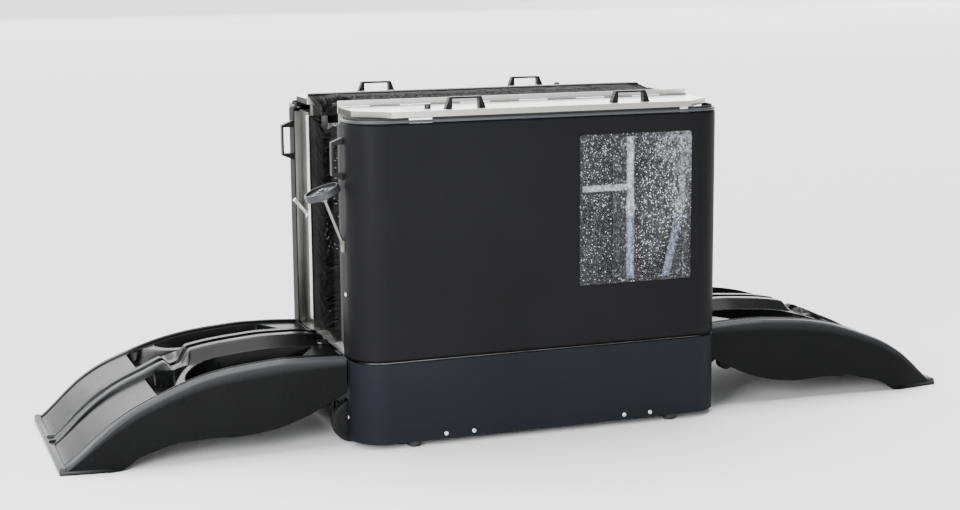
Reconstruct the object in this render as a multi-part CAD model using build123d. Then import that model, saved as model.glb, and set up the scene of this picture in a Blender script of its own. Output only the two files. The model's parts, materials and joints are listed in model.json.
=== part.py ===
from build123d import *
import math
import os

# Bicycle washing machine, in millimetres. +X is the way the bicycle leaves, -Y the front, +Z up.
# The front half is modelled; the rear half is the front half turned half a turn about Z.

# Casing and skirt
CASE_LENGTH = 1364.0
CASE_WIDTH = 950.0
CORNER_RADIUS = 112.0
WALL = 4.0
FLANGE = 26.0
FOOT_HEIGHT = 20.0
FOOT_RADIUS = 22.0
SKIRT_TOP = 296.0
SKIRT_EDGE_ROUND = 6.0
SEAM = 4.0
LID_TOP = 1140.0
LID_DEPTH = 20.0
LID_GAP = 19.0
CASING_EDGE_ROUND = 9.0
PASSAGE_SETBACK = 285.0
END_WALL_WIDTH = 165.0
HALF_LENGTH = CASE_LENGTH / 2
HALF_WIDTH = CASE_WIDTH / 2
CASING_BOTTOM = SKIRT_TOP + SEAM
LID_BOTTOM = LID_TOP - LID_DEPTH
CASING_TOP = LID_BOTTOM - LID_GAP
PASSAGE_HALF = HALF_WIDTH - PASSAGE_SETBACK
END_WALL_Y = HALF_WIDTH - END_WALL_WIDTH
INNER_X = HALF_LENGTH - WALL
INNER_Y = HALF_WIDTH - WALL

# Window
WINDOW_WIDTH = 427.0
WINDOW_HEIGHT = 523.0
WINDOW_X = 335.0
WINDOW_DROP = 64.5
WINDOW_CORNER = 6.0
WINDOW_CLEARANCE = 1.0
PANE_RECESS = 0.5
GASKET_OVERLAP = 12.0
GASKET_THICKNESS = 4.0
WINDOW_Z = CASING_TOP - WINDOW_DROP - WINDOW_HEIGHT / 2

# Base frame, tank and tray
TUBE = 40.0
TUBE_WALL = 3.0
FRAME_HALF_LENGTH = HALF_LENGTH - CORNER_RADIUS - 10.0
INNER_CROSS_X = 180.0
DECK_PLATE = 4.0
DECK_LAP = 12.0
DECK_GAP = 1.0
STUB_SETBACK = 60.0
STUB_Y = PASSAGE_HALF - STUB_SETBACK
BEAM_TOP = 280.0
BEAM_SETBACK = 2.0
FRAME_TOP = FOOT_HEIGHT + TUBE
DECK_TOP = FRAME_TOP + DECK_PLATE
TRAY_THICKNESS = 3.0
TRAY_MARGIN = 8.0
TRAY_TOP = SKIRT_TOP + TRAY_THICKNESS
TANK_HALF_LENGTH = 510.0
TANK_SETBACK = 30.0
TANK_WALL = 4.0
TANK_HALF_WIDTH = PASSAGE_HALF - TANK_SETBACK
DRAIN_INNER_Y = 56.0
DRAIN_MARGIN = 12.0
DRAIN_OUTER_Y = TANK_HALF_WIDTH - DRAIN_MARGIN
DRAIN_HALF_LENGTH = 440.0
FILTER_HALF_LENGTH = 110.0
FILTER_X = 180.0
FILTER_DEPTH = 110.0
FILTER_WALL = 3.0
FILTER_RIM = 7.0
FILTER_SLOTS = 10
FILTER_CLEARANCE = 1.0
TRACK_HALF_WIDTH = 45.0
TRACK_SIDE = 19.0
TRACK_SHEET = 3.0
TRACK_SETBACK = 3.0

# Inner frames
POST_SHEET = 3.0
POST_DEPTH = 40.0
POST_SETBACK = 28.0
POST_LAP = 20.0
POST_MARGIN = 10.0
POST_TOP_GAP = 1.0
POST_X = HALF_LENGTH - POST_SETBACK
POST_INNER_Y = PASSAGE_HALF + POST_MARGIN
RAIL_HEIGHT = 40.0
RAIL_DEPTH = 30.0
RAIL_TOP = LID_BOTTOM
RAIL_HALF_LENGTH = HALF_LENGTH - POST_DEPTH
ARM_THICKNESS = 14.0
ARM_HALF_WIDTH = 40.0
ARM_LAP = 4.0

# Brush rollers and their drive
ROLLER_NEAR_X = 40.0
ROLLER_FAR_X = -345.0
ROLLER_SETBACK = 45.0
ROLLER_Y = -PASSAGE_HALF - ROLLER_SETBACK
ROLLER_RADIUS = 180.0
ROLLER_CORE = 30.0
ROLLER_BOTTOM = 340.0
ROLLER_HEADROOM = 40.0
ROLLER_TOP = RAIL_TOP - RAIL_HEIGHT - ROLLER_HEADROOM
ROLLER_RINGS = 16
RING_THICKNESS = 14.0
SLEEVE_WALL = 4.0
CORE_OVERHANG = 8.0
SHAFT_RADIUS = 12.5
RUNNING_GAP = 0.05
SLEEVE_GAP = 0.1
BEARING_RADIUS = 24.0
BEARING_FLANGE = 34.0
BEARING_FLANGE_THICKNESS = 5.0
BEARING_LENGTH = 19.0
SEAT_GAP = 0.05
PULLEY_RADIUS = 40.0
PULLEY_BOTTOM = 246.0
PULLEY_HEIGHT = 28.0
BELT_THICKNESS = 4.0
BELT_HEIGHT = 20.0
BELT_GAP = 0.3
MOTOR_RADIUS = 56.0
MOTOR_HEIGHT = 140.0
MOTOR_BOSS_RADIUS = 30.0
MOTOR_BOSS_HEIGHT = 12.0
MOTOR_FINS = 8
MOTOR_FIN_DEPTH = 6.0
SHAFT_ENGAGEMENT = 30.0
TAIL_LENGTH = 8.0

# Strip brushes
BRUSH_X = HALF_LENGTH - 32.0
HOLDER_THICKNESS = 6.0
HOLDER_WIDTH = 14.0
HOLDER_LEG = 25.0
BACKING = 4.0
BACKING_WIDTH = 10.0
STRAND_WIDTH = 3.6
STRAND_PITCH = 14.0
STRAND_LEAN = 0.32
TIP_GAP = 10.0
END_BRUSH_BOTTOM = 330.0
END_BRUSH_TOP = RAIL_TOP - RAIL_HEIGHT
TOP_HOLDER_RISE = 21.0
TOP_HOLDER_TOP = LID_TOP + TOP_HOLDER_RISE
TOP_HOLDER_LAP = 34.0
TOP_BRUSH_INSET = 9.0

# Lids
LID_INSET_X = 26.0
LID_INSET_Y = 4.0
LID_CHAMFER = 108.0
LID_SHEET = 2.0
HINGE_RADIUS = 5.0
HINGE_PIN_RADIUS = 2.5
HINGE_LEAF = 1.5
HINGE_GAP = 0.7
KNUCKLES = 12
KNUCKLE_GAP = 0.6
LID_HALF_LENGTH = HALF_LENGTH - LID_INSET_X
LID_OUTER_Y = HALF_WIDTH - LID_INSET_Y
HOLDER_OUTER_Y = POST_INNER_Y + HOLDER_THICKNESS
HINGE_Y = HOLDER_OUTER_Y + HINGE_LEAF + HINGE_RADIUS + HINGE_GAP
HINGE_Z = LID_TOP - LID_SHEET / 2
LID_INNER_Y = HINGE_Y + HINGE_RADIUS + HINGE_GAP

# Latch: the slide runs in two guides under the lid, its knob stands through the slot
SLOT_LENGTH = 94.0
SLOT_WIDTH = 14.0
SLOT_X = -431.0
SLOT_SETBACK = 94.0
SLOT_Y = -HALF_WIDTH + SLOT_SETBACK
LATCH_TRAVEL = 75.0
KNOB_STEM = 5.0
KNOB_RADIUS = 11.0
KNOB_HEIGHT = 16.0
SLIDE_LENGTH = 76.0
SLIDE_WIDTH = 38.0
SLIDE_THICKNESS = 6.0
SLIDE_GAP = 0.5
GUIDE_WALL = 3.0
GUIDE_LIP = 3.5
TONGUE_WIDTH = 30.0
TONGUE_THICKNESS = 4.0
TONGUE_REACH = 71.0
TONGUE_GAP = 2.5
WEB_THICKNESS = 4.0
KEEPER_LENGTH = 80.0
KEEPER_SHEET = 4.0
KEEPER_DEPTH = 34.0
REST_LENGTH = 31.0
REST_DEPTH = 22.0
REST_X = 518.0
REST_GAP = 0.3

# Handles
HANDLE_LENGTH = 144.0
HANDLE_HEIGHT = 40.0
HANDLE_WIDTH = 24.0
HANDLE_SLANT = 16.0
HANDLE_BAR = 6.5
HANDLE_LEG = 8.0
HANDLE_ROUND = 2.0
LID_HANDLE_XS = (-277.0, 330.0)
LID_HANDLE_SETBACK = 50.0
END_HANDLE_DROP = 121.0
END_HANDLE_SETBACK = 30.0
LID_HANDLE_Y = -HALF_WIDTH + LID_HANDLE_SETBACK
END_HANDLE_Z = CASING_TOP - END_HANDLE_DROP
END_HANDLE_Y = END_WALL_Y + END_HANDLE_SETBACK

# Handwheel on its slanted spindle
HANDWHEEL_REACH = 74.0
HANDWHEEL_SETBACK = 140.0
HANDWHEEL_DROP = 222.0
HANDWHEEL_Y = -HALF_WIDTH + HANDWHEEL_SETBACK
HANDWHEEL_Z = CASING_TOP - HANDWHEEL_DROP
HANDWHEEL_TILT = 20.8
HANDWHEEL_RADIUS = 62.0
HANDWHEEL_HEIGHT = 25.0
HANDWHEEL_RIM = 7.0
HANDWHEEL_DISH = 9.0
HUB_RADIUS = 22.0
SPINDLE_RADIUS = 6.0
SPINDLE_HEAD = 9.0
SPINDLE_HEAD_HEIGHT = 4.0
BOSS_RADIUS = 14.0
BOSS_LENGTH = 14.0
BOSS_GAP = 0.4
FOOT_SHEET = 6.0
FOOT_WIDTH = 30.0
FOOT_PLATE = 40.0

# Water
PIPE_RADIUS = 12.5
HOSE_RADIUS = 15.0
HOSE_BORE = 9.0
RIB_DEPTH = 2.6
RIB_PITCH = 9.0
COUPLING_RADIUS = 18.0
COUPLING_LENGTH = 54.0
COUPLING_FOOT = 30.0
PIPE_SETBACK = 29.0
PIPE_HEADROOM = 16.0
COUPLING_DROP = 29.0
PIPE_Y = -HALF_WIDTH + PIPE_SETBACK
PIPE_X = 326.0
PIPE_TOP = CASING_TOP - PIPE_HEADROOM
COUPLING_Z = WINDOW_Z - COUPLING_DROP
SECOND_PIPE_X = 516.0
HOSE_SLANT = 96.0
SPRAY_ARM_RISE = 100.0
SPRAY_ARM_Z = COUPLING_Z + SPRAY_ARM_RISE
SPRAY_ARM_LENGTH = 200.0
CLIP_DROP = 27.0
CLIP_HEIGHT = 16.0
CLIP_Z = PIPE_TOP - CLIP_DROP
NOZZLE_RADIUS = 8.0
NOZZLE_TIP = 3.0
NOZZLE_LENGTH = 16.0
NOZZLE_RISES = (104.0, 174.0, 244.0)
PUMP_RADIUS = 54.0
PUMP_HEIGHT = 110.0
PUMP_NECK = 13.0
PUMP_SETBACK = 70.0
SPOUT_GAP = 0.3
STUB_PIPE_RADIUS = 6.0
STUB_PIPE_LENGTH = 75.0
STUB_PIPE_TILT = 40.0
STUB_PIPE_DROP = 388.0
STUB_PIPE_SETBACK = 40.0
STUB_PIPE_Z = CASING_TOP - STUB_PIPE_DROP
STUB_PIPE_Y = -POST_INNER_Y - STUB_PIPE_SETBACK
STUB_NUT_RADIUS = 12.0
STUB_NUT_HEIGHT = 8.0

# Screws
SCREW_RADIUS = 4.0
SCREW_HEAD_RADIUS = 7.5
SCREW_HEAD_HEIGHT = 4.0
SCREW_GAP = 0.1
SCREW_LENGTH = 12.0
SKIRT_SCREW_Z = 38.0
SKIRT_SCREW_XS = (-373.0, -272.0, 293.0, 394.0)
END_SCREW_SETBACK = 123.0
END_SCREW_Y = -HALF_WIDTH + END_SCREW_SETBACK
END_SCREW_ZS = (95.0, 521.0)

# Transport wheels at the entry end
WHEEL_RADIUS = 74.0
WHEEL_WIDTH = 28.0
WHEEL_LIFT = 2.0
WHEEL_SETBACK = 22.0
WHEEL_INSET = 153.0
WHEEL_Y = HALF_WIDTH - WHEEL_INSET
WHEEL_HUB_RADIUS = 20.0
WHEEL_WEB = 12.0
WHEEL_RIM_RADIUS = 54.0
AXLE_RADIUS = 6.0
AXLE_HEAD = 10.0
AXLE_HEAD_HEIGHT = 5.0
FORK_SHEET = 4.0
FORK_GAP = 4.0
FORK_HEIGHT = 44.0
FORK_NOSE = 16.0
WHEEL_SLOT_GAP = 5.0

# Ramps: the lines are drawn at distances from the inner end, and stretch with the ramp's length
RAMP_LENGTH = 966.0
RAMP_WALL = 6.0
RAMP_GAP = 8.0
RIM_HEIGHT = ((0, 304), (110, 310), (200, 311), (300, 305), (390, 296), (480, 280), (560, 257),
              (640, 228), (720, 194), (790, 152), (850, 104), (900, 59), (940, 27), (966, 16))
SIDE_EDGE = ((0, 187), (90, 141), (170, 107), (275, 80), (375, 72), (480, 76), (570, 75),
             (645, 59), (710, 38), (782, 0), (966, 0))
SIDE_WIDTH = ((0, 370), (400, 374), (640, 388), (790, 394), (966, 370))
TROUGH_DEPTH = ((0, 14), (60, 34), (112, 58), (150, 86), (400, 92), (560, 66), (618, 44), (640, 0), (966, 0))
LANE_DROP = ((0, 6), (560, 6), (640, 14), (850, 14), (930, 6), (966, 3))
RIDGE_RISE = ((0, 24), (60, 33), (400, 33), (640, 31), (850, 29), (930, 10), (966, 3))
RIDGE_FOOT = ((0, 112), (560, 112), (640, 68), (966, 66))
GROOVE_DEPTH = ((0, 12), (850, 12), (930, 4), (966, 2))
RIM_BAND = ((0, 62), (480, 62), (750, 34), (966, 30))
STATIONS = (0, 30, 60, 112, 150, 230, 315, 400, 480, 560, 618, 640, 700, 750, 800, 850, 900, 930, 966)
GROOVE_HALF = 17.0
GROOVE_SIDE = 6.0
RIDGE_HALF = 54.0
TRACK_SHOULDER = 118.0
TROUGH_INNER = 142.0
TROUGH_WALL = 18.0
RIM_STEP = 10.0
RIM_SIDE = 5.0
RIM_SHOULDER = 16.0
LIP_START = 790.0
LIP_DEPTH = 30.0
LIP_OUT = 6.0
LIP_HEIGHT = 14.0
TOE_BOSS_LENGTH = 34.0
TOE_BOSS_WIDTH = 40.0
TOE_BOSS_HEIGHT = 28.0
TOE_BOSS_ROUND = 6.0
RIB_DISTANCE = 82.0
RIB_BOTTOM = 197.0
PIVOT_DISTANCE = 22.0
PIVOT_Z = 300.0
LUG_Y = 88.0
LUG_WIDTH = 14.0
LUG_RADIUS = 12.0
PIN_RADIUS = 5.0
PIN_HEAD = 8.0
PIN_HEAD_HEIGHT = 3.0
EAR_WIDTH = 6.0
EAR_GAP = 0.5
LUG_SLOT_GAP = 1.5
BRACKET_SHEET = 6.0
BRACKET_DROP = 60.0
STAY_WIDTH = 30.0
STAY_WHEEL_GAP = 3.0
STAY_Y = WHEEL_Y - WHEEL_WIDTH / 2 - STAY_WHEEL_GAP - STAY_WIDTH / 2
STAY_THICKNESS = 6.0
STAY_GAP = 0.3
STAY_FOOT_Z = 115.0
STAY_FOOT = 44.0
REST_LUG_RADIUS = 32.0
REST_LUG_Z = 162.0
REST_LUG_WIDTH = 30.0
REST_LUG_GAP = 3.0
REST_LUG_LAP = 20.0
RAMP_STRETCH = RAMP_LENGTH / RIM_HEIGHT[-1][0]
RAMP_START = HALF_LENGTH + RAMP_GAP
PIVOT_X = RAMP_START + PIVOT_DISTANCE


def span(x0, x1, y0, y1, z0, z1):
    """Box between two corners."""
    size = (abs(x1 - x0), abs(y1 - y0), abs(z1 - z0))
    return Pos((x0 + x1) / 2, (y0 + y1) / 2, (z0 + z1) / 2) * Box(*size)


def rod_z(x, y, z0, z1, radius):
    """Upright cylinder between two heights."""
    return Pos(x, y, (z0 + z1) / 2) * Cylinder(radius, z1 - z0)


def rod_y(x, z, y0, y1, radius):
    """Cylinder along Y."""
    return Pos(x, (y0 + y1) / 2, z) * Rot(90, 0, 0) * Cylinder(radius, y1 - y0)


def rod_x(y, z, x0, x1, radius):
    """Cylinder along X."""
    return Pos((x0 + x1) / 2, y, z) * Rot(0, 90, 0) * Cylinder(radius, x1 - x0)


def turned(shape):
    """The same shape on the other half: half a turn about Z."""
    return Rot(0, 0, 180) * shape


def both(shape):
    """A shape of the front half together with its turned copy."""
    return [shape, turned(shape)]


def smooth(points, d):
    """Height at a distance d along a smooth ramp line through a few points, never past its neighbours."""
    d = d / RAMP_STRETCH
    count = len(points)
    steps = [(points[i + 1][1] - points[i][1]) / (points[i + 1][0] - points[i][0]) for i in range(count - 1)]
    slopes = [steps[0]]
    for i in range(1, count - 1):
        level = steps[i - 1] * steps[i] <= 0
        slopes.append(0.0 if level else 2 * steps[i - 1] * steps[i] / (steps[i - 1] + steps[i]))
    slopes.append(steps[-1])
    for i in range(count - 1):
        (d0, h0), (d1, h1) = points[i], points[i + 1]
        if d <= d1:
            width = d1 - d0
            t = (d - d0) / width
            rise = t * t * (3 - 2 * t)
            return (h0 + (h1 - h0) * rise + slopes[i] * width * t * (1 - t) ** 2
                    - slopes[i + 1] * width * t * t * (1 - t))
    return points[-1][1]


def straight(points, d):
    """Height at a distance d along straight runs of a ramp line between a few points."""
    d = d / RAMP_STRETCH
    for (d0, h0), (d1, h1) in zip(points, points[1:]):
        if d <= d1:
            return h0 + (h1 - h0) * (d - d0) / (d1 - d0)
    return points[-1][1]


def wrapped_shell(z0, z1, edge):
    """Rounded sheet wrap, open below, with a rounded top edge and an inward flange."""
    outer = extrude(Pos(0, 0, z0) * RectangleRounded(CASE_LENGTH, CASE_WIDTH, CORNER_RADIUS), z1 - z0)
    outer = fillet(outer.faces().sort_by(Axis.Z)[-1].edges(), edge)
    inside = RectangleRounded(2 * INNER_X, 2 * INNER_Y, CORNER_RADIUS - WALL)
    core = extrude(Pos(0, 0, z0) * inside, z1 - z0 - WALL)
    core = fillet(core.faces().sort_by(Axis.Z)[-1].edges(), max(edge - WALL, 0.5))
    lip = RectangleRounded(2 * (INNER_X - FLANGE), 2 * (INNER_Y - FLANGE), CORNER_RADIUS - WALL - FLANGE)
    mouth = extrude(Pos(0, 0, z0) * lip, z1 - z0)
    return outer - core - mouth


def front_part(shell, left_y, right_y):
    """The front of a wrap, cut at its two end walls."""
    far = HALF_LENGTH + WALL
    deep = HALF_WIDTH + WALL
    left = span(-far, 0, -deep, -left_y, 0, CASING_TOP + WALL)
    right = span(0, far, -deep, -right_y, 0, CASING_TOP + WALL)
    return shell & (left + right)


def screw_places():
    """Head seat and outward direction of each panel screw on the front half."""
    places = [((x, -HALF_WIDTH, SKIRT_SCREW_Z), (0, -1, 0)) for x in SKIRT_SCREW_XS]
    places += [((-HALF_LENGTH, END_SCREW_Y, z), (-1, 0, 0)) for z in END_SCREW_ZS]
    return places


def along(place, direction):
    """Location at a place with its Z along a direction."""
    return Plane(origin=place, z_dir=direction).location


def screw_hole(place, direction):
    """Clearance hole for one panel screw."""
    return along(place, direction) * Cylinder(SCREW_RADIUS + SCREW_GAP, 2 * SCREW_LENGTH + 2 * WALL)


def panel_screw(place, direction):
    """Button-head screw with its head on the panel."""
    head = Cylinder(SCREW_HEAD_RADIUS, SCREW_HEAD_HEIGHT, align=(Align.CENTER, Align.CENTER, Align.MIN))
    head = fillet(head.faces().sort_by(Axis.Z)[-1].edges(), SCREW_HEAD_HEIGHT * 0.6)
    shank = Cylinder(SCREW_RADIUS, SCREW_LENGTH, align=(Align.CENTER, Align.CENTER, Align.MAX))
    return along(place, direction) * (head + shank)


def make_skirts():
    """Front and rear skirt with wheel slots at the entry end."""
    shell = wrapped_shell(FOOT_HEIGHT, SKIRT_TOP, SKIRT_EDGE_ROUND)
    half = front_part(shell, PASSAGE_HALF, PASSAGE_HALF)
    holes = [screw_hole(place, way) for place, way in screw_places() if place[2] < SKIRT_TOP]
    spout = rod_z(PIPE_X, PIPE_Y, SKIRT_TOP - 2 * WALL, SKIRT_TOP + 1, PUMP_NECK + SPOUT_GAP)
    half = half - holes - spout
    reach = WHEEL_WIDTH / 2 + WHEEL_SLOT_GAP
    slot_top = 2 * WHEEL_RADIUS + WHEEL_LIFT + WHEEL_SLOT_GAP
    slot = span(-HALF_LENGTH - 1, -HALF_LENGTH + CORNER_RADIUS, -reach, reach, FOOT_HEIGHT - 1, slot_top)
    front = half - Pos(0, -WHEEL_Y, 0) * slot
    rear = turned(half) - Pos(0, WHEEL_Y, 0) * slot
    return front, rear


def window_opening(grow, y0, y1):
    """Rounded block over the window, grown on all sides."""
    corner = WINDOW_CORNER + max(grow, -WINDOW_CORNER / 2)
    outline = RectangleRounded(WINDOW_WIDTH + 2 * grow, WINDOW_HEIGHT + 2 * grow, corner)
    face = Pos(WINDOW_X, y1, WINDOW_Z) * Rot(90, 0, 0) * outline
    return extrude(face, y1 - y0)


def make_casing():
    """Front casing shell with its window opening and screw holes."""
    half = front_part(wrapped_shell(CASING_BOTTOM, CASING_TOP, CASING_EDGE_ROUND), END_WALL_Y, END_WALL_Y)
    half = half - window_opening(0, -HALF_WIDTH - 1, -INNER_Y + 1)
    holes = [screw_hole(place, way) for place, way in screw_places() if place[2] > CASING_BOTTOM]
    return half - holes


def make_window():
    """Pane, set in the opening, and the gasket ring behind it."""
    pane = window_opening(-WINDOW_CLEARANCE, -HALF_WIDTH + PANE_RECESS, -INNER_Y)
    ring = window_opening(GASKET_OVERLAP, -INNER_Y, -INNER_Y + GASKET_THICKNESS)
    ring = ring - window_opening(-GASKET_OVERLAP, -INNER_Y - 1, -INNER_Y + GASKET_THICKNESS + 1)
    return pane, ring


def tube_x(x0, x1, y0, z0):
    """Square tube along X, open at both ends, as its outside and its bore."""
    bore = span(x0 - 1, x1 + 1, y0 + TUBE_WALL, y0 + TUBE - TUBE_WALL, z0 + TUBE_WALL, z0 + TUBE - TUBE_WALL)
    return span(x0, x1, y0, y0 + TUBE, z0, z0 + TUBE), bore


def make_base_frame():
    """Square-tube base with deck plates and, at each end, a beam for the ramp brackets."""
    long_y = INNER_Y - TUBE
    end_x = HALF_LENGTH - BEAM_SETBACK
    frame = []
    bores = []
    for y0 in (-INNER_Y, long_y):
        bar, bore = tube_x(-FRAME_HALF_LENGTH, FRAME_HALF_LENGTH, y0, FOOT_HEIGHT)
        frame.append(bar)
        bores.append(bore)
    for x in (-INNER_CROSS_X, INNER_CROSS_X):
        frame.append(span(x - TUBE / 2, x + TUBE / 2, -long_y, long_y, FOOT_HEIGHT, FRAME_TOP))
    for side in (-1, 1):
        cross_x = side * (FRAME_HALF_LENGTH - TUBE)
        frame.append(span(cross_x, side * FRAME_HALF_LENGTH, -long_y, long_y, FOOT_HEIGHT, FRAME_TOP))
        inner_x = side * (end_x - TUBE)
        for y in (-STUB_Y, STUB_Y):
            frame.append(span(cross_x, side * end_x, y - TUBE / 2, y + TUBE / 2, FOOT_HEIGHT, FRAME_TOP))
            frame.append(span(inner_x, side * end_x, y - TUBE / 2, y + TUBE / 2, FRAME_TOP, BEAM_TOP - TUBE))
        beam_y = STUB_Y + TUBE / 2
        frame.append(span(inner_x, side * end_x, -beam_y, beam_y, BEAM_TOP - TUBE, BEAM_TOP))
    plate_x = FRAME_HALF_LENGTH - TUBE + DECK_LAP
    for x0 in (-plate_x, INNER_CROSS_X):
        x1 = x0 + plate_x - INNER_CROSS_X
        plate = span(x0, x1, -long_y - TUBE / 2, -TANK_HALF_WIDTH - DECK_GAP, FRAME_TOP, DECK_TOP)
        frame += both(plate)
    shape = frame[0] + frame[1:]
    holes = [screw_hole(place, way) for place, way in screw_places() if place[2] < FRAME_TOP]
    return shape - bores - holes - [turned(hole) for hole in holes]


def roller_xs():
    """Places of the two rollers of the front half: driven by the motor, driven by the belt."""
    return ROLLER_FAR_X, ROLLER_NEAR_X


def make_sump_tank():
    """Tank between the halves with a wide drip tray, drains over the tank and bearing seats."""
    half_x = INNER_X - TRAY_MARGIN
    half_y = INNER_Y - TRAY_MARGIN
    tray = RectangleRounded(2 * half_x, 2 * half_y, CORNER_RADIUS - WALL - TRAY_MARGIN)
    tray = extrude(Pos(0, 0, SKIRT_TOP) * tray, TRAY_THICKNESS)
    tank = span(-TANK_HALF_LENGTH, TANK_HALF_LENGTH, -TANK_HALF_WIDTH, TANK_HALF_WIDTH, FRAME_TOP, SKIRT_TOP)
    inside_x = TANK_HALF_LENGTH - TANK_WALL
    inside_y = TANK_HALF_WIDTH - TANK_WALL
    room = span(-inside_x, inside_x, -inside_y, inside_y, FRAME_TOP + TANK_WALL, SKIRT_TOP)
    body = tray + (tank - room)
    cuts = []
    end = DRAIN_HALF_LENGTH
    drain = span(-end, end, -DRAIN_OUTER_Y, -DRAIN_INNER_Y, SKIRT_TOP - 1, TRAY_TOP + 1)
    cuts += both(drain)
    for x in roller_xs():
        cuts += both(rod_z(x, ROLLER_Y, SKIRT_TOP - 1, TRAY_TOP + 1, BEARING_RADIUS + SEAT_GAP))
    return body - cuts


def make_filter_basket():
    """Open basket hung by its rim in the front drain, slotted at the bottom."""
    x0 = FILTER_X - FILTER_HALF_LENGTH
    x1 = FILTER_X + FILTER_HALF_LENGTH
    y0 = -DRAIN_OUTER_Y + FILTER_CLEARANCE
    y1 = -DRAIN_INNER_Y - FILTER_CLEARANCE
    bottom = TRAY_TOP - FILTER_DEPTH
    rim_top = TRAY_TOP + FILTER_WALL
    cup = span(x0, x1, y0, y1, bottom, rim_top)
    rim = span(x0, x1, y0 - FILTER_RIM, y1 + FILTER_RIM, TRAY_TOP, rim_top)
    wall = FILTER_WALL
    room = span(x0 + wall, x1 - wall, y0 + wall, y1 - wall, bottom + wall, rim_top)
    slots = []
    pitch = (x1 - x0) / FILTER_SLOTS
    for i in range(FILTER_SLOTS):
        x = x0 + pitch * (i + 0.5)
        half = pitch / 4
        slots.append(span(x - half, x + half, y0 + 4 * wall, y1 - 4 * wall, bottom - 1, bottom + wall))
    return cup + rim - room - slots


def make_wheel_track():
    """Shallow channel that the bicycle's wheels roll in."""
    end = HALF_LENGTH - TRACK_SETBACK
    top = TRAY_TOP + TRACK_SIDE
    side = TRACK_HALF_WIDTH - TRACK_SHEET
    outside = span(-end, end, -TRACK_HALF_WIDTH, TRACK_HALF_WIDTH, TRAY_TOP, top)
    return outside - span(-end - 1, end + 1, -side, side, TRAY_TOP + TRACK_SHEET, top + 1)


def make_inner_frame():
    """End posts, top rail and roller arms of the front half, welded from stainless sheet and tube."""
    post_top = CASING_TOP - CASING_EDGE_ROUND - POST_TOP_GAP
    outer_y = -END_WALL_Y - POST_LAP
    rail_y = -POST_INNER_Y
    rail_bottom = RAIL_TOP - RAIL_HEIGHT
    lap = RAIL_HALF_LENGTH + ARM_LAP
    rail = span(-lap, lap, rail_y - POST_SHEET, rail_y + RAIL_DEPTH, rail_bottom, RAIL_TOP)
    frame = rail
    for side in (-1, 1):
        face = side * POST_X
        frame = frame + span(face - side * POST_SHEET, face, outer_y, rail_y, TRAY_TOP, post_top)
        for y in (outer_y, rail_y - POST_SHEET):
            frame = frame + span(face - side * POST_DEPTH, face, y, y + POST_SHEET, TRAY_TOP, post_top)
    for x in roller_xs():
        arm_top = rail_bottom + ARM_LAP
        arm_bottom = arm_top - ARM_THICKNESS
        tip = ROLLER_Y - ARM_HALF_WIDTH
        arm = span(x - ARM_HALF_WIDTH, x + ARM_HALF_WIDTH, tip, rail_y + RAIL_DEPTH / 2, arm_bottom, arm_top)
        bore = rod_z(x, ROLLER_Y, arm_bottom - 1, arm_top + 1, BEARING_RADIUS + SEAT_GAP)
        frame = frame + arm - bore
    return frame


def make_bearing(x, flange_z, up):
    """Flanged bearing on a roller shaft; its barrel points up or down from the flange."""
    rise = 1 if up else -1
    far = flange_z + rise * BEARING_LENGTH
    back = flange_z - rise * BEARING_FLANGE_THICKNESS
    barrel = rod_z(x, ROLLER_Y, min(flange_z, far), max(flange_z, far), BEARING_RADIUS)
    flange = rod_z(x, ROLLER_Y, min(flange_z, back), max(flange_z, back), BEARING_FLANGE)
    bore = rod_z(x, ROLLER_Y, min(far, back) - 1, max(far, back) + 1, SHAFT_RADIUS + RUNNING_GAP)
    return barrel + flange - bore


def arm_bottom_z():
    """Underside of the roller arms."""
    return RAIL_TOP - RAIL_HEIGHT + ARM_LAP - ARM_THICKNESS


def make_bearings():
    """Lower bearings seated in the tray and upper bearings in the roller arms."""
    pieces = []
    for x in roller_xs():
        pieces += both(make_bearing(x, TRAY_TOP, False))
        pieces += both(make_bearing(x, arm_bottom_z(), True))
    return pieces


def motor_top():
    """Top of the motor's boss."""
    return DECK_TOP + MOTOR_HEIGHT + MOTOR_BOSS_HEIGHT


def make_roller_shaft(x, bottom):
    """Shaft with the belt pulley and the core tube that carries the bristles."""
    top = arm_bottom_z() + BEARING_LENGTH + TAIL_LENGTH
    shaft = rod_z(x, ROLLER_Y, bottom, top, SHAFT_RADIUS)
    core = rod_z(x, ROLLER_Y, ROLLER_BOTTOM - CORE_OVERHANG, ROLLER_TOP + CORE_OVERHANG, ROLLER_CORE)
    pulley = rod_z(x, ROLLER_Y, PULLEY_BOTTOM, PULLEY_BOTTOM + PULLEY_HEIGHT, PULLEY_RADIUS)
    return shaft + core + pulley


def make_roller_sleeve(x):
    """Sleeve of a roller with its stacked bristle rings, at the reach of their bristles."""
    bore = ROLLER_CORE + SLEEVE_GAP
    sleeve = rod_z(x, ROLLER_Y, ROLLER_BOTTOM, ROLLER_TOP, bore + SLEEVE_WALL)
    pitch = (ROLLER_TOP - ROLLER_BOTTOM - RING_THICKNESS) / (ROLLER_RINGS - 1)
    rings = []
    for i in range(ROLLER_RINGS):
        z = ROLLER_BOTTOM + pitch * i
        rings.append(rod_z(x, ROLLER_Y, z, z + RING_THICKNESS, ROLLER_RADIUS))
    return sleeve + rings - rod_z(x, ROLLER_Y, ROLLER_BOTTOM - 1, ROLLER_TOP + 1, bore)


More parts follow.
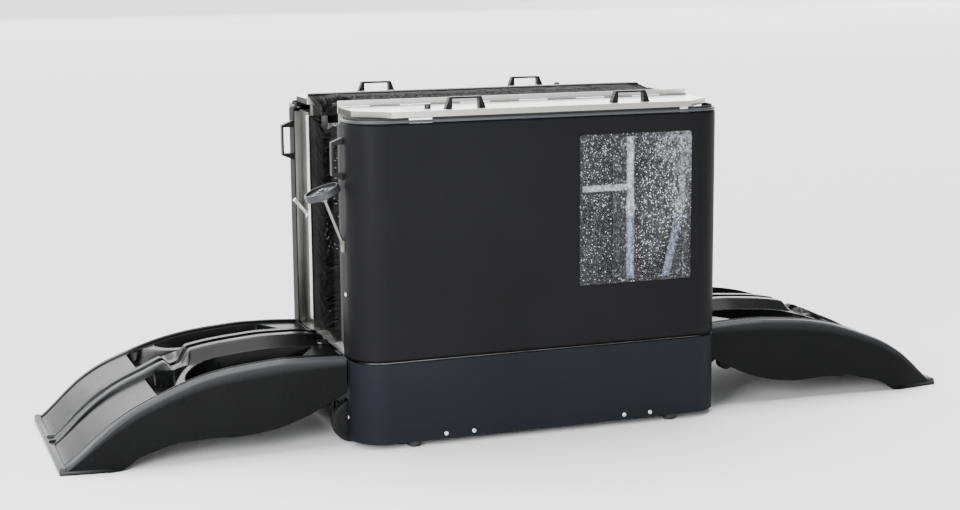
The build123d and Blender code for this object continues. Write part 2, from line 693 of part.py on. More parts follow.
def make_motor():
    """Gear motor on its deck plate, with cooling fins and a bored boss for the roller shaft."""
    x = ROLLER_FAR_X
    body_top = DECK_TOP + MOTOR_HEIGHT
    body = rod_z(x, ROLLER_Y, DECK_TOP, body_top, MOTOR_RADIUS)
    fin_pitch = MOTOR_HEIGHT / (MOTOR_FINS + 1)
    grooves = []
    for i in range(MOTOR_FINS):
        z = DECK_TOP + fin_pitch * (i + 1)
        ring = rod_z(x, ROLLER_Y, z - fin_pitch / 4, z + fin_pitch / 4, MOTOR_RADIUS + 1)
        core = rod_z(x, ROLLER_Y, z - fin_pitch, z + fin_pitch, MOTOR_RADIUS - MOTOR_FIN_DEPTH)
        grooves.append(ring - core)
    boss = rod_z(x, ROLLER_Y, body_top, motor_top(), MOTOR_BOSS_RADIUS)
    bore_bottom = motor_top() - SHAFT_ENGAGEMENT - 1
    bore = rod_z(x, ROLLER_Y, bore_bottom, motor_top() + 1, SHAFT_RADIUS + RUNNING_GAP)
    return body + boss - grooves - bore


def make_belt():
    """Flat belt round the two pulleys of the front half."""
    z0 = PULLEY_BOTTOM + (PULLEY_HEIGHT - BELT_HEIGHT) / 2
    middle = (ROLLER_FAR_X + ROLLER_NEAR_X) / 2
    centres = ROLLER_NEAR_X - ROLLER_FAR_X
    inner = PULLEY_RADIUS + BELT_GAP
    outer = inner + BELT_THICKNESS
    loop = SlotOverall(centres + 2 * outer, 2 * outer) - SlotOverall(centres + 2 * inner, 2 * inner)
    return extrude(Pos(middle, ROLLER_Y, z0) * loop, BELT_HEIGHT)


def strand(root, tip):
    """Four-sided strand between two points."""
    path = Vector(*tip) - Vector(*root)
    seat = Plane(origin=root, z_dir=path)
    return extrude(seat * Rectangle(STRAND_WIDTH, STRAND_WIDTH), path.length)


def strand_starts(low, high, lean):
    """Evenly pitched strand roots between two ends, with room for the lean of the tips."""
    margin = STRAND_WIDTH
    room = high - low - lean - 2 * margin
    count = int(room / STRAND_PITCH) + 1
    return [low + margin + room * i / (count - 1) for i in range(count)]


def make_end_brush(x, root_y):
    """Upright strip brush: a backing on its holder with strands that hang down towards the middle."""
    side = 1 if root_y > 0 else -1
    inner_y = root_y - side * BACKING
    half = BACKING_WIDTH / 2
    backing = span(x - half, x + half, root_y, inner_y, END_BRUSH_BOTTOM, END_BRUSH_TOP)
    reach = abs(inner_y) - TIP_GAP
    lean = reach * STRAND_LEAN
    strands = []
    for z in strand_starts(END_BRUSH_BOTTOM, END_BRUSH_TOP, lean):
        strands.append(strand((x, root_y - side * BACKING / 2, z + lean), (x, side * TIP_GAP, z)))
    return backing.fuse(*strands)


def make_top_brush():
    """Strip brush along the top rail of the front half, with strands that lean along the passage."""
    root_y = -POST_INNER_Y
    inner_y = root_y + BACKING
    half = BACKING_WIDTH / 2
    z = TOP_HOLDER_TOP - TOP_BRUSH_INSET
    backing = span(-LID_HALF_LENGTH, LID_HALF_LENGTH, root_y, inner_y, z - half, z + half)
    reach = abs(inner_y) - TIP_GAP
    lean = reach * STRAND_LEAN
    strands = []
    for x in strand_starts(-LID_HALF_LENGTH, LID_HALF_LENGTH, lean):
        strands.append(strand((x + lean, root_y + BACKING / 2, z), (x, -TIP_GAP, z)))
    return backing.fuse(*strands)


def make_brush_holders():
    """Holder strips of the front half: round the edge of each end post and along the top rail."""
    half = HOLDER_WIDTH / 2
    root_y = -POST_INNER_Y
    tip_y = root_y + HOLDER_THICKNESS
    strips = []
    for side in (-1, 1):
        x = side * BRUSH_X
        front = x + side * half
        strip = span(x - half, x + half, root_y, tip_y, END_BRUSH_BOTTOM, END_BRUSH_TOP)
        leg = span(side * POST_X, front, root_y - HOLDER_LEG, tip_y, END_BRUSH_BOTTOM, END_BRUSH_TOP)
        strips.append(strip + leg)
    foot = RAIL_TOP - TOP_HOLDER_LAP + POST_SHEET
    outer_y = root_y - HOLDER_THICKNESS
    top = span(-LID_HALF_LENGTH, LID_HALF_LENGTH, outer_y, root_y, RAIL_TOP, TOP_HOLDER_TOP)
    outer = span(-RAIL_HALF_LENGTH, RAIL_HALF_LENGTH, outer_y, root_y - POST_SHEET, foot, RAIL_TOP)
    return strips + [top + outer]


def knuckle_ends(moving):
    """Start and end of each hinge knuckle on the lid or on the fixed leaf."""
    pitch = 2 * LID_HALF_LENGTH / KNUCKLES
    ends = []
    for i in range(KNUCKLES):
        if (i % 2 == 0) == moving:
            x0 = -LID_HALF_LENGTH + pitch * i
            ends.append((x0 + KNUCKLE_GAP / 2, x0 + pitch - KNUCKLE_GAP / 2))
    return ends


def make_lid_hinge():
    """Fixed leaf with its knuckles and the pin that the lid turns on."""
    face = -HOLDER_OUTER_Y
    end = LID_HALF_LENGTH
    hinge = span(-end, end, face - HINGE_LEAF, face, LID_BOTTOM, HINGE_Z + HINGE_RADIUS)
    for x0, x1 in knuckle_ends(False):
        hinge = hinge + span(x0, x1, -HINGE_Y, face, HINGE_Z - HINGE_RADIUS / 2, HINGE_Z + HINGE_RADIUS / 2)
        hinge = hinge + rod_x(-HINGE_Y, HINGE_Z, x0, x1, HINGE_RADIUS)
    return hinge + rod_x(-HINGE_Y, HINGE_Z, -LID_HALF_LENGTH, LID_HALF_LENGTH, HINGE_PIN_RADIUS)


def lid_outline(inset):
    """Plan of the lid with its two chamfered outer corners, inset on all sides."""
    x = LID_HALF_LENGTH - inset
    outer = -LID_OUTER_Y + inset
    inner = -LID_INNER_Y - inset
    cut = LID_CHAMFER - inset * (2 - math.sqrt(2))
    right = [(x - cut, outer), (x, outer + cut), (x, inner)]
    points = [(-px, py) for px, py in right[::-1]] + right
    return make_face(Polyline(*points, close=True))


def slide_rest_x():
    """Place of the knob at rest, at the exit end of the slot."""
    return SLOT_X + LATCH_TRAVEL / 2


def make_lid():
    """Folded tray lid with moving hinge knuckles, latch slot and slide guides."""
    lid = extrude(Pos(0, 0, LID_BOTTOM) * lid_outline(0), LID_TOP - LID_BOTTOM)
    under = LID_TOP - LID_SHEET
    lid = lid - extrude(Pos(0, 0, LID_BOTTOM) * lid_outline(LID_SHEET), under - LID_BOTTOM)
    for x0, x1 in knuckle_ends(True):
        lid = lid + span(x0, x1, -LID_INNER_Y - LID_SHEET, -HINGE_Y, under, LID_TOP)
        lid = lid + rod_x(-HINGE_Y, HINGE_Z, x0, x1, HINGE_RADIUS)
    end = LID_HALF_LENGTH + 1
    lid = lid - rod_x(-HINGE_Y, HINGE_Z, -end, end, HINGE_PIN_RADIUS + RUNNING_GAP)
    slot = extrude(Pos(SLOT_X, SLOT_Y, under - 1) * SlotOverall(SLOT_LENGTH, SLOT_WIDTH), LID_SHEET + 2)
    lid = lid - slot
    guide_x0 = slide_rest_x() - LATCH_TRAVEL - SLIDE_LENGTH / 2
    guide_x1 = slide_rest_x() + SLIDE_LENGTH / 2
    lip_top = under - 2 * SLIDE_GAP - SLIDE_THICKNESS
    half = SLIDE_WIDTH / 2 + SLIDE_GAP
    for side in (-1, 1):
        wall_y = SLOT_Y + side * half
        lid = lid + span(guide_x0, guide_x1, wall_y, wall_y + side * GUIDE_WALL, lip_top - GUIDE_LIP, under)
        lid = lid + span(guide_x0, guide_x1, wall_y - side * GUIDE_LIP, wall_y, lip_top - GUIDE_LIP, lip_top)
    return lid


def keeper_throat():
    """Lowest and highest height between the keeper's foot and its arm."""
    foot_top = CASING_TOP + KEEPER_SHEET
    return foot_top, foot_top + 2 * TONGUE_GAP + TONGUE_THICKNESS


def make_latch():
    """Slide under the lid with its knob above the slot and a tongue that goes below the keeper's arm."""
    under = LID_TOP - LID_SHEET
    x = slide_rest_x()
    slide_top = under - SLIDE_GAP
    slide_bottom = slide_top - SLIDE_THICKNESS
    slide_end = x + SLIDE_LENGTH / 2
    half = SLIDE_WIDTH / 2
    slide = span(x - SLIDE_LENGTH / 2, slide_end, SLOT_Y - half, SLOT_Y + half, slide_bottom, slide_top)
    stem = rod_z(x, SLOT_Y, slide_top, LID_TOP + SLIDE_GAP, KNOB_STEM)
    cap = rod_z(x, SLOT_Y, LID_TOP + SLIDE_GAP, LID_TOP + KNOB_HEIGHT, KNOB_RADIUS)
    cap = fillet(cap.faces().sort_by(Axis.Z)[-1].edges(), KNOB_RADIUS / 3)
    throat_bottom = keeper_throat()[0]
    tongue_bottom = throat_bottom + TONGUE_GAP
    tongue_x0 = slide_end - TONGUE_WIDTH
    tongue_top = tongue_bottom + TONGUE_THICKNESS
    web_y = SLOT_Y + WEB_THICKNESS / 2
    web = span(tongue_x0, slide_end, web_y - WEB_THICKNESS, web_y, tongue_bottom, slide_bottom)
    tongue = span(tongue_x0, slide_end, SLOT_Y - TONGUE_REACH, web_y, tongue_bottom, tongue_top)
    return slide + stem + cap + web + tongue


def make_lid_rests():
    """Keeper for the latch and a rest pad, both on the casing's flange under the lid's outer edge."""
    tongue_middle = slide_rest_x() + SLIDE_LENGTH / 2 - TONGUE_WIDTH / 2
    x1 = tongue_middle - LATCH_TRAVEL / 2
    x0 = x1 - KEEPER_LENGTH
    foot_top, arm_bottom = keeper_throat()
    y0 = -HALF_WIDTH + WALL
    y1 = -INNER_Y + FLANGE
    keeper = span(x0, x1, y0, y1, CASING_TOP, foot_top)
    keeper = keeper + span(x0, x1, y0, y0 + KEEPER_SHEET, CASING_TOP, arm_bottom + KEEPER_SHEET)
    keeper = keeper + span(x0, x1, y0, y0 + KEEPER_DEPTH, arm_bottom, arm_bottom + KEEPER_SHEET)
    pad_y = -LID_OUTER_Y - LID_SHEET
    pad_y = max(pad_y, -HALF_WIDTH + CASING_EDGE_ROUND / 2)
    pad = span(REST_X - REST_LENGTH / 2, REST_X + REST_LENGTH / 2, pad_y, pad_y + REST_DEPTH, CASING_TOP,
               LID_BOTTOM - REST_GAP)
    return [keeper, pad]


def make_handle():
    """Bridge handle on the XY plane, along X: slanted outer ends, straight inner legs."""
    base = HANDLE_LENGTH / 2
    top = base - HANDLE_SLANT
    leg = top - HANDLE_LEG
    roof = HANDLE_HEIGHT - HANDLE_BAR
    outer_points = [(-base, 0), (-top, HANDLE_HEIGHT), (top, HANDLE_HEIGHT), (base, 0)]
    outer = make_face(Polyline(*outer_points, close=True))
    inner = make_face(Polyline((-leg, 0), (-leg, roof), (leg, roof), (leg, 0), close=True))
    bow = extrude(outer - inner, HANDLE_WIDTH / 2, both=True)
    edges = bow.edges().filter_by(Axis.Z)
    bow = fillet(edges.group_by(Axis.Y)[-1], HANDLE_ROUND)
    return Rot(90, 0, 0) * bow


def make_lid_handles():
    """Two bridge handles on the front lid."""
    return [Pos(x, LID_HANDLE_Y, LID_TOP) * make_handle() for x in LID_HANDLE_XS]


def make_end_handles():
    """Upright bridge handles on the entry end walls of both halves."""
    outward = Rot(0, -90, 0) * make_handle()
    return [Pos(-HALF_LENGTH, y, END_HANDLE_Z) * outward for y in (-END_HANDLE_Y, END_HANDLE_Y)]


def handwheel_frame():
    """Location at the top of the handwheel with its Z along the spindle, upwards."""
    tilt = math.radians(HANDWHEEL_TILT)
    direction = (-math.sin(tilt), 0, math.cos(tilt))
    return Plane(origin=(-HALF_LENGTH - HANDWHEEL_REACH, HANDWHEEL_Y, HANDWHEEL_Z), x_dir=(0, 1, 0),
                 z_dir=direction).location


def make_handwheel():
    """Dished handwheel with a rolled rim and a bored hub, turning on its spindle."""
    low = -HANDWHEEL_HEIGHT
    wheel = rod_z(0, 0, low, 0, HANDWHEEL_RADIUS)
    edges = wheel.edges().filter_by(GeomType.CIRCLE)
    wheel = fillet(edges, HANDWHEEL_RIM / 2)
    wheel = wheel - rod_z(0, 0, -HANDWHEEL_DISH, 1, HANDWHEEL_RADIUS - HANDWHEEL_RIM)
    wheel = wheel - rod_z(0, 0, low - 1, low + HANDWHEEL_DISH, HANDWHEEL_RADIUS - HANDWHEEL_RIM)
    wheel = wheel + rod_z(0, 0, low, -HANDWHEEL_DISH / 2, HUB_RADIUS)
    wheel = wheel - rod_z(0, 0, low - 1, 1, SPINDLE_RADIUS + RUNNING_GAP)
    return handwheel_frame() * wheel


def make_spindle():
    """Fixed spindle with its head, the boss under the wheel and the foot plate on the end wall."""
    tilt = math.radians(HANDWHEEL_TILT)
    run = HANDWHEEL_REACH / math.sin(tilt)
    boss_top = -HANDWHEEL_HEIGHT - BOSS_GAP
    head_bottom = -HANDWHEEL_DISH / 2 + BOSS_GAP
    local = rod_z(0, 0, -run - FOOT_SHEET, head_bottom + SPINDLE_HEAD_HEIGHT, SPINDLE_RADIUS)
    local = local + rod_z(0, 0, head_bottom, head_bottom + SPINDLE_HEAD_HEIGHT, SPINDLE_HEAD)
    local = local + rod_z(0, 0, boss_top - BOSS_LENGTH, boss_top, BOSS_RADIUS)
    shape = handwheel_frame() * local
    y0 = HANDWHEEL_Y - FOOT_WIDTH / 2
    y1 = HANDWHEEL_Y + FOOT_WIDTH / 2
    plate_x = -HALF_LENGTH - FOOT_SHEET
    foot_z = HANDWHEEL_Z - run * math.cos(tilt)
    foot = span(plate_x, -HALF_LENGTH, y0, y1, foot_z - FOOT_PLATE / 2, foot_z + FOOT_PLATE / 2)
    shape = shape + foot
    behind = -HALF_LENGTH + 10 * FOOT_SHEET
    return shape - span(-HALF_LENGTH, behind, y0, y1, foot_z - FOOT_PLATE, foot_z + FOOT_PLATE)


def hose_length():
    """Free length of the upright hose between its two couplings."""
    return COUPLING_Z - TRAY_TOP - COUPLING_FOOT


def ribbed_hose(length):
    """Ribbed hose from the origin along +X: a bored tube with rounded ribs."""
    ribs = int(length / RIB_PITCH)
    pitch = length / ribs
    valley = HOSE_RADIUS - RIB_DEPTH
    circles = []
    for i in range(ribs):
        x = pitch * i
        for share, radius in ((0.0, valley), (0.25, valley), (0.45, HOSE_RADIUS), (0.8, HOSE_RADIUS)):
            circles.append(Wire.make_circle(radius, Plane(origin=(x + pitch * share, 0, 0), z_dir=(1, 0, 0))))
    circles.append(Wire.make_circle(valley, Plane(origin=(length, 0, 0), z_dir=(1, 0, 0))))
    outside = Solid.make_loft(circles, ruled=True)
    return Part(outside.wrapped) - rod_x(0, 0, -1, length + 1, HOSE_BORE)


def second_hose_plane():
    """Top of the slanted hose and the direction it runs down in."""
    top = Vector(SECOND_PIPE_X, PIPE_Y, COUPLING_Z)
    bottom = Vector(SECOND_PIPE_X - HOSE_SLANT, PIPE_Y, TRAY_TOP + COUPLING_FOOT)
    return top, bottom


def make_hoses():
    """Upright supply hose and slanted return hose of the front half."""
    upright = Pos(PIPE_X, PIPE_Y, COUPLING_Z) * Rot(0, 90, 0) * ribbed_hose(hose_length())
    top, bottom = second_hose_plane()
    way = bottom - top
    lean = math.degrees(math.atan2(-way.X, -way.Z))
    slanted = Pos(top.X, top.Y, top.Z) * Rot(0, 90 + lean, 0) * ribbed_hose(way.length)
    return [upright, slanted]


def make_couplings():
    """Collared couplings at both ends of the hoses."""
    top, bottom = second_hose_plane()
    lean = (bottom - top).normalized()
    pieces = []
    collar = COUPLING_LENGTH / 4
    ends = [((PIPE_X, PIPE_Y, COUPLING_Z), (0, 0, 1), COUPLING_LENGTH),
            ((PIPE_X, PIPE_Y, TRAY_TOP + COUPLING_FOOT), (0, 0, -1), COUPLING_FOOT),
            ((top.X, top.Y, top.Z), (-lean.X, -lean.Y, -lean.Z), COUPLING_LENGTH),
            ((bottom.X, bottom.Y, bottom.Z), (lean.X, lean.Y, lean.Z), COUPLING_FOOT)]
    for place, way, length in ends:
        body = Cylinder(HOSE_RADIUS, length, align=(Align.CENTER, Align.CENTER, Align.MIN))
        ring = Cylinder(COUPLING_RADIUS, collar, align=(Align.CENTER, Align.CENTER, Align.MIN))
        body = along(place, way) * (body + Pos(0, 0, length / 2 - collar / 2) * ring)
        pieces.append(body)
    tray = span(-HALF_LENGTH, HALF_LENGTH, -HALF_WIDTH, 0, 0, TRAY_TOP)
    return [piece - tray for piece in pieces]


def second_pipe_start():
    """Place on top of the slanted coupling where the second pipe begins."""
    top, bottom = second_hose_plane()
    way = (top - bottom).normalized()
    return top + way * COUPLING_LENGTH


def make_spray_pipes():
    """Upright pipe with its spray arm, and the second pipe, both clipped to the casing above the window."""
    start = COUPLING_Z + COUPLING_LENGTH
    first = rod_z(PIPE_X, PIPE_Y, start, PIPE_TOP, PIPE_RADIUS)
    arm_end = PIPE_X - SPRAY_ARM_LENGTH
    first = first + rod_x(PIPE_Y, SPRAY_ARM_Z, arm_end, PIPE_X, PIPE_RADIUS * 0.9)
    low = second_pipe_start()
    second = rod_z(low.X, PIPE_Y, low.Z, PIPE_TOP, PIPE_RADIUS)
    top, bottom = second_hose_plane()
    seat = along((low.X, low.Y, low.Z), top - bottom)
    below = Cylinder(2 * COUPLING_RADIUS, COUPLING_LENGTH, align=(Align.CENTER, Align.CENTER, Align.MAX))
    second = second - seat * below
    pipes = []
    for pipe, x in ((first, PIPE_X), (second, low.X)):
        half = PIPE_RADIUS + WALL
        clip = span(x - half, x + half, -INNER_Y, PIPE_Y + half, CLIP_Z, CLIP_Z + CLIP_HEIGHT)
        pipes.append(pipe + clip)
    return pipes


def nozzle(x, z):
    """Spray nozzle on a pipe, pointing across the passage."""
    seat = PIPE_Y + PIPE_RADIUS
    body = Cone(NOZZLE_RADIUS, NOZZLE_TIP, NOZZLE_LENGTH, align=(Align.CENTER, Align.CENTER, Align.MIN))
    shape = Pos(x, seat, z) * Rot(-90, 0, 0) * body
    return shape


def make_nozzles():
    """Nozzles seated on flats of the two upright pipes."""
    low = second_pipe_start()
    return [nozzle(x, COUPLING_Z + rise) for x in (PIPE_X, low.X) for rise in NOZZLE_RISES]


def make_pump():
    """Pump on its deck plate with a neck up to the supply hose's fitting under the tray."""
    y = PIPE_Y + PUMP_SETBACK
    top = DECK_TOP + PUMP_HEIGHT
    body = rod_z(PIPE_X, y, DECK_TOP, top, PUMP_RADIUS)
    body = fillet(body.faces().sort_by(Axis.Z)[-1].edges(), PUMP_NECK)
    spout = rod_z(PIPE_X, PIPE_Y, top - 2 * PUMP_NECK - PUMP_NECK, SKIRT_TOP, PUMP_NECK)
    branch = rod_y(PIPE_X, top - 2 * PUMP_NECK, PIPE_Y, y, PUMP_NECK)
    return body + branch + spout


def make_inlet_stub():
    """Slanted inlet stub with its nut, on the exit post of the front half."""
    tilt = math.radians(STUB_PIPE_TILT)
    way = (math.sin(tilt), 0, math.cos(tilt))
    seat = along((POST_X, STUB_PIPE_Y, STUB_PIPE_Z), way)
    pipe = Cylinder(STUB_PIPE_RADIUS, STUB_PIPE_LENGTH, align=(Align.CENTER, Align.CENTER, Align.MIN))
    root = Cylinder(STUB_PIPE_RADIUS, STUB_PIPE_LENGTH / 2, align=(Align.CENTER, Align.CENTER, Align.MAX))
    tip = Pos(0, 0, STUB_PIPE_LENGTH) * Cylinder(STUB_PIPE_RADIUS + 1.5, STUB_PIPE_RADIUS)
    nut = Pos(POST_X, STUB_PIPE_Y, STUB_PIPE_Z) * Rot(0, 90, 0) * Cylinder(
        STUB_NUT_RADIUS, STUB_NUT_HEIGHT, align=(Align.CENTER, Align.CENTER, Align.MIN))
    reach = STUB_PIPE_LENGTH
    wall = span(POST_X - 2 * reach, POST_X, STUB_PIPE_Y - reach, STUB_PIPE_Y + reach,
                STUB_PIPE_Z - reach, STUB_PIPE_Z + reach)
    return seat * (pipe + root + tip) + nut - wall


def wheel_centre():
    """Centre of the transport wheels, as x and z."""
    return -HALF_LENGTH + WHEEL_SETBACK, WHEEL_RADIUS + WHEEL_LIFT


def make_transport_wheel(y):
    """Transport wheel with a rim, a recessed web and a bored hub."""
    x, z = wheel_centre()
    half = WHEEL_WIDTH / 2
    wheel = rod_y(x, z, y - half, y + half, WHEEL_RADIUS)
    wheel = fillet(wheel.edges().filter_by(GeomType.CIRCLE), WHEEL_WIDTH / 5)
    for side in (-1, 1):
        face = y + side * half
        floor = y + side * WHEEL_WEB / 2
        recess = rod_y(x, z, min(face, floor), max(face, floor), WHEEL_RIM_RADIUS)
        recess = recess - rod_y(x, z, min(face, floor), max(face, floor), WHEEL_HUB_RADIUS)
        wheel = wheel - recess
    return wheel - rod_y(x, z, y - WHEEL_WIDTH, y + WHEEL_WIDTH, AXLE_RADIUS + RUNNING_GAP)


def make_wheel_fork(y):
    """Two fork plates and their back plate on the frame's end tube."""
    x, z = wheel_centre()
    inner = WHEEL_WIDTH / 2 + FORK_GAP
    back = -FRAME_HALF_LENGTH
    tip = x - FORK_NOSE
    z0 = FOOT_HEIGHT
    fork = span(back - FORK_SHEET, back, y - inner, y + inner, z0, FRAME_TOP)
    for side in (-1, 1):
        y0 = y + side * inner
        points = [(back, z0), (tip, z - FORK_HEIGHT / 2), (tip, z + FORK_HEIGHT / 2), (back, FRAME_TOP)]
        plate = make_face(Polyline(*points, close=True))
        plate = extrude(Plane.XZ * plate, FORK_SHEET / 2, both=True)
        fork = fork + Pos(0, y0 + side * FORK_SHEET / 2, 0) * plate
    return fork - rod_y(x, z, y - 2 * inner, y + 2 * inner, AXLE_RADIUS)


def make_axle(y):
    """Axle across the fork with a head at each end."""
    x, z = wheel_centre()
    half = WHEEL_WIDTH / 2 + FORK_GAP + FORK_SHEET
    axle = rod_y(x, z, y - half - AXLE_HEAD_HEIGHT, y + half + AXLE_HEAD_HEIGHT, AXLE_RADIUS)
    for side in (-1, 1):
        face = y + side * half
        far = face + side * AXLE_HEAD_HEIGHT
        axle = axle + rod_y(x, z, min(face, far), max(face, far), AXLE_HEAD)
    return axle


def ramp_levels(d):
    """Heights of rim, lane, ridge and side edge at a distance along the ramp."""
    rim = smooth(RIM_HEIGHT, d)
    lane = rim - straight(LANE_DROP, d)
    return rim, lane, lane + straight(RIDGE_RISE, d), smooth(SIDE_EDGE, d)


def ramp_skin(d):
    """Half of the ramp's upper outline at a distance, from the middle to the side's lower edge."""
    rim, lane, ridge, edge = ramp_levels(d)
    groove = ridge - straight(GROOVE_DEPTH, d)
    floor = lane - straight(TROUGH_DEPTH, d)
    side = smooth(SIDE_WIDTH, d)
    rim_foot = side - straight(RIM_BAND, d)
    shoulder = rim - min(RIM_SHOULDER, (rim - edge) / 2)
    return [(0, groove), (GROOVE_HALF, groove), (GROOVE_HALF + GROOVE_SIDE, ridge), (RIDGE_HALF, ridge),
            (straight(RIDGE_FOOT, d), lane), (TRACK_SHOULDER, lane), (TROUGH_INNER, floor),
            (rim_foot - TROUGH_WALL, floor), (rim_foot, lane), (rim_foot + RIM_STEP, rim),
            (side - RIM_SIDE, rim - RIM_SIDE / 2), (side, shoulder), (side, edge)]


def ramp_lining(d):
    """Half of the ramp's hollow underside at a distance, one wall inside the upper outline."""
    wall = RAMP_WALL
    skin = ramp_skin(d)
    side, edge = skin[-1]
    shoulder = skin[-2][1]
    groove = skin[1][1] - wall
    under_rim = skin[9][1] - wall
    return [(0, groove), (skin[1][0] + wall, groove), (RIDGE_HALF - wall, groove),
            (skin[4][0] - wall, skin[4][1] - wall), (TRACK_SHOULDER - wall / 2, skin[5][1] - wall),
            (TROUGH_INNER - wall / 2, skin[6][1] - wall), (skin[7][0] + wall, skin[7][1] - wall),
            (skin[8][0] + wall, skin[8][1] - wall), (skin[9][0] + wall / 2, under_rim),
            (side - wall, min(shoulder, under_rim)), (side - wall, edge)]


def mirrored(half):
    """Whole outline from one half, side to side."""
    other = [(-y, z) for y, z in half[1:]]
    return other[::-1] + half


def ramp_section(d):
    """Closed outline of the ramp's moulded shell at a distance."""
    points = mirrored(ramp_skin(d)) + mirrored(ramp_lining(d))[::-1]
    return Wire.make_polygon([(RAMP_START + d, y, z) for y, z in points], close=True)


def ramp_web(d, bottom):
    """Cross wall that fills the ramp's hollow down to a height."""
    skin = [(y, z) for y, z in mirrored(ramp_skin(d)) if z > bottom]
    side = max(y for y, z in skin)
    points = [(-side, bottom)] + skin + [(side, bottom)]
    outline = Wire.make_polygon([(RAMP_START + d, y, z) for y, z in points], close=True)
    return extrude(Face(outline), RAMP_WALL, dir=(1, 0, 0))


def lip_outline(start, end, grow):
    """Plan of the toe lip between two distances, grown or shrunk sideways from the ramp's sides."""
    wide = smooth(SIDE_WIDTH, start) + grow
    narrow = smooth(SIDE_WIDTH, end) + grow
    points = [(start, -wide), (end, -narrow), (end, narrow), (start, wide)]
    return make_face(Polyline(*[(RAMP_START + d, y) for d, y in points], close=True))


def make_toe_lip():
    """Low lip round the ramp's toe, along both sides and across the end, with a boss in the middle."""
    start = LIP_START * RAMP_STRETCH
    outer = extrude(lip_outline(start, RAMP_LENGTH, LIP_OUT), LIP_HEIGHT)
    room = extrude(lip_outline(start, RAMP_LENGTH - LIP_DEPTH, -RAMP_WALL), LIP_HEIGHT)
    boss_end = RAMP_START + RAMP_LENGTH - TOE_BOSS_ROUND
    half = TOE_BOSS_WIDTH / 2
    boss = span(boss_end - TOE_BOSS_LENGTH, boss_end, -half, half, 0, TOE_BOSS_HEIGHT)
    boss = fillet(boss.faces().sort_by(Axis.Z)[-1].edges(), TOE_BOSS_ROUND)
    return outer - room + boss


def make_rest_lug(y0, y1):
    """Rounded lug that hangs from the ramp's rib beside a stay."""
    x = RAMP_START + RIB_DISTANCE
    top = RIB_BOTTOM + REST_LUG_LAP
    lug = rod_y(x, REST_LUG_Z, y0, y1, REST_LUG_RADIUS)
    return lug + span(x - REST_LUG_RADIUS, x + REST_LUG_RADIUS, y0, y1, REST_LUG_Z, top)


def make_ramp():
    """Exit ramp: moulded shell with end wall, rib, toe lip, rest lugs and hinge lugs."""
    ramp = Part(Solid.make_loft([ramp_section(d * RAMP_STRETCH) for d in STATIONS], ruled=True).wrapped)
    ramp = ramp + ramp_web(0, smooth(SIDE_EDGE, 0)) + ramp_web(RIB_DISTANCE, RIB_BOTTOM) + make_toe_lip()
    lug_y = STAY_Y + STAY_WIDTH / 2 + REST_LUG_GAP
    ramp = ramp + make_rest_lug(lug_y, lug_y + REST_LUG_WIDTH)
    ramp = ramp + make_rest_lug(-lug_y - REST_LUG_WIDTH, -lug_y)
    rib_x = RAMP_START + RIB_DISTANCE
    lug_half = LUG_WIDTH / 2
    ear = lug_half + EAR_GAP + EAR_WIDTH + PIN_HEAD_HEIGHT + LUG_SLOT_GAP
    slot_end = PIVOT_X + LUG_RADIUS + LUG_SLOT_GAP
    for y in (-LUG_Y, LUG_Y):
        ramp = ramp - span(RAMP_START - 1, slot_end, y - ear, y + ear, 0, 2 * PIVOT_Z)
        lug = span(PIVOT_X, rib_x, y - lug_half, y + lug_half, PIVOT_Z - LUG_RADIUS, PIVOT_Z + LUG_RADIUS / 2)
        ramp = ramp + lug + rod_y(PIVOT_X, PIVOT_Z, y - lug_half, y + lug_half, LUG_RADIUS)
        ramp = ramp - rod_y(PIVOT_X, PIVOT_Z, y - LUG_WIDTH, y + LUG_WIDTH, PIN_RADIUS + RUNNING_GAP)
    return ramp


def make_ramp_brackets():
    """Ears for the hinge pins on the end beam, and stays that the ramp's rib rests on, at the exit end."""
    beam = HALF_LENGTH - BEAM_SETBACK
    inner = LUG_WIDTH / 2 + EAR_GAP
    outer = inner + EAR_WIDTH
    pieces = []
    for y in (-LUG_Y, LUG_Y):
        low = BEAM_TOP - BRACKET_DROP / 2
        bracket = span(beam, beam + BRACKET_SHEET, y - outer, y + outer, low, PIVOT_Z + LUG_RADIUS)
        for side in (-1, 1):
            y0 = y + side * inner
            y1 = y + side * outer
            ear = span(beam, PIVOT_X, y0, y1, PIVOT_Z - LUG_RADIUS, PIVOT_Z + LUG_RADIUS)
            bracket = bracket + ear + rod_y(PIVOT_X, PIVOT_Z, min(y0, y1), max(y0, y1), LUG_RADIUS)
        pieces.append(bracket - rod_y(PIVOT_X, PIVOT_Z, y - 2 * outer, y + 2 * outer, PIN_RADIUS))
    rib_x = RAMP_START + RIB_DISTANCE + RAMP_WALL / 2
    top = RIB_BOTTOM - STAY_GAP
    half = STAY_WIDTH / 2
    for y in (-STAY_Y, STAY_Y):
        foot = STAY_FOOT / 2
        stay = span(HALF_LENGTH, HALF_LENGTH + STAY_THICKNESS, y - half, y + half, STAY_FOOT_Z - foot,
                    STAY_FOOT_Z + foot)
        points = [(HALF_LENGTH, STAY_FOOT_Z), (rib_x, top - STAY_THICKNESS), (rib_x, top),
                  (rib_x - STAY_THICKNESS, top), (HALF_LENGTH, STAY_FOOT_Z + STAY_THICKNESS * 1.5)]
        bar = extrude(Plane.XZ * make_face(Polyline(*points, close=True)), half, both=True)
        pieces.append(stay + Pos(0, y, 0) * bar)
    return pieces


def make_ramp_pins():
    """Headed hinge pins of the exit ramp."""
    outer = LUG_WIDTH / 2 + EAR_GAP + EAR_WIDTH
    pins = []
    for y in (-LUG_Y, LUG_Y):
        pin = rod_y(PIVOT_X, PIVOT_Z, y - outer, y + outer, PIN_RADIUS)
        for side in (-1, 1):
            face = y + side * outer
            far = face + side * PIN_HEAD_HEIGHT
            pin = pin + rod_y(PIVOT_X, PIVOT_Z, min(face, far), max(face, far), PIN_HEAD)
        pins.append(pin)
    return pins


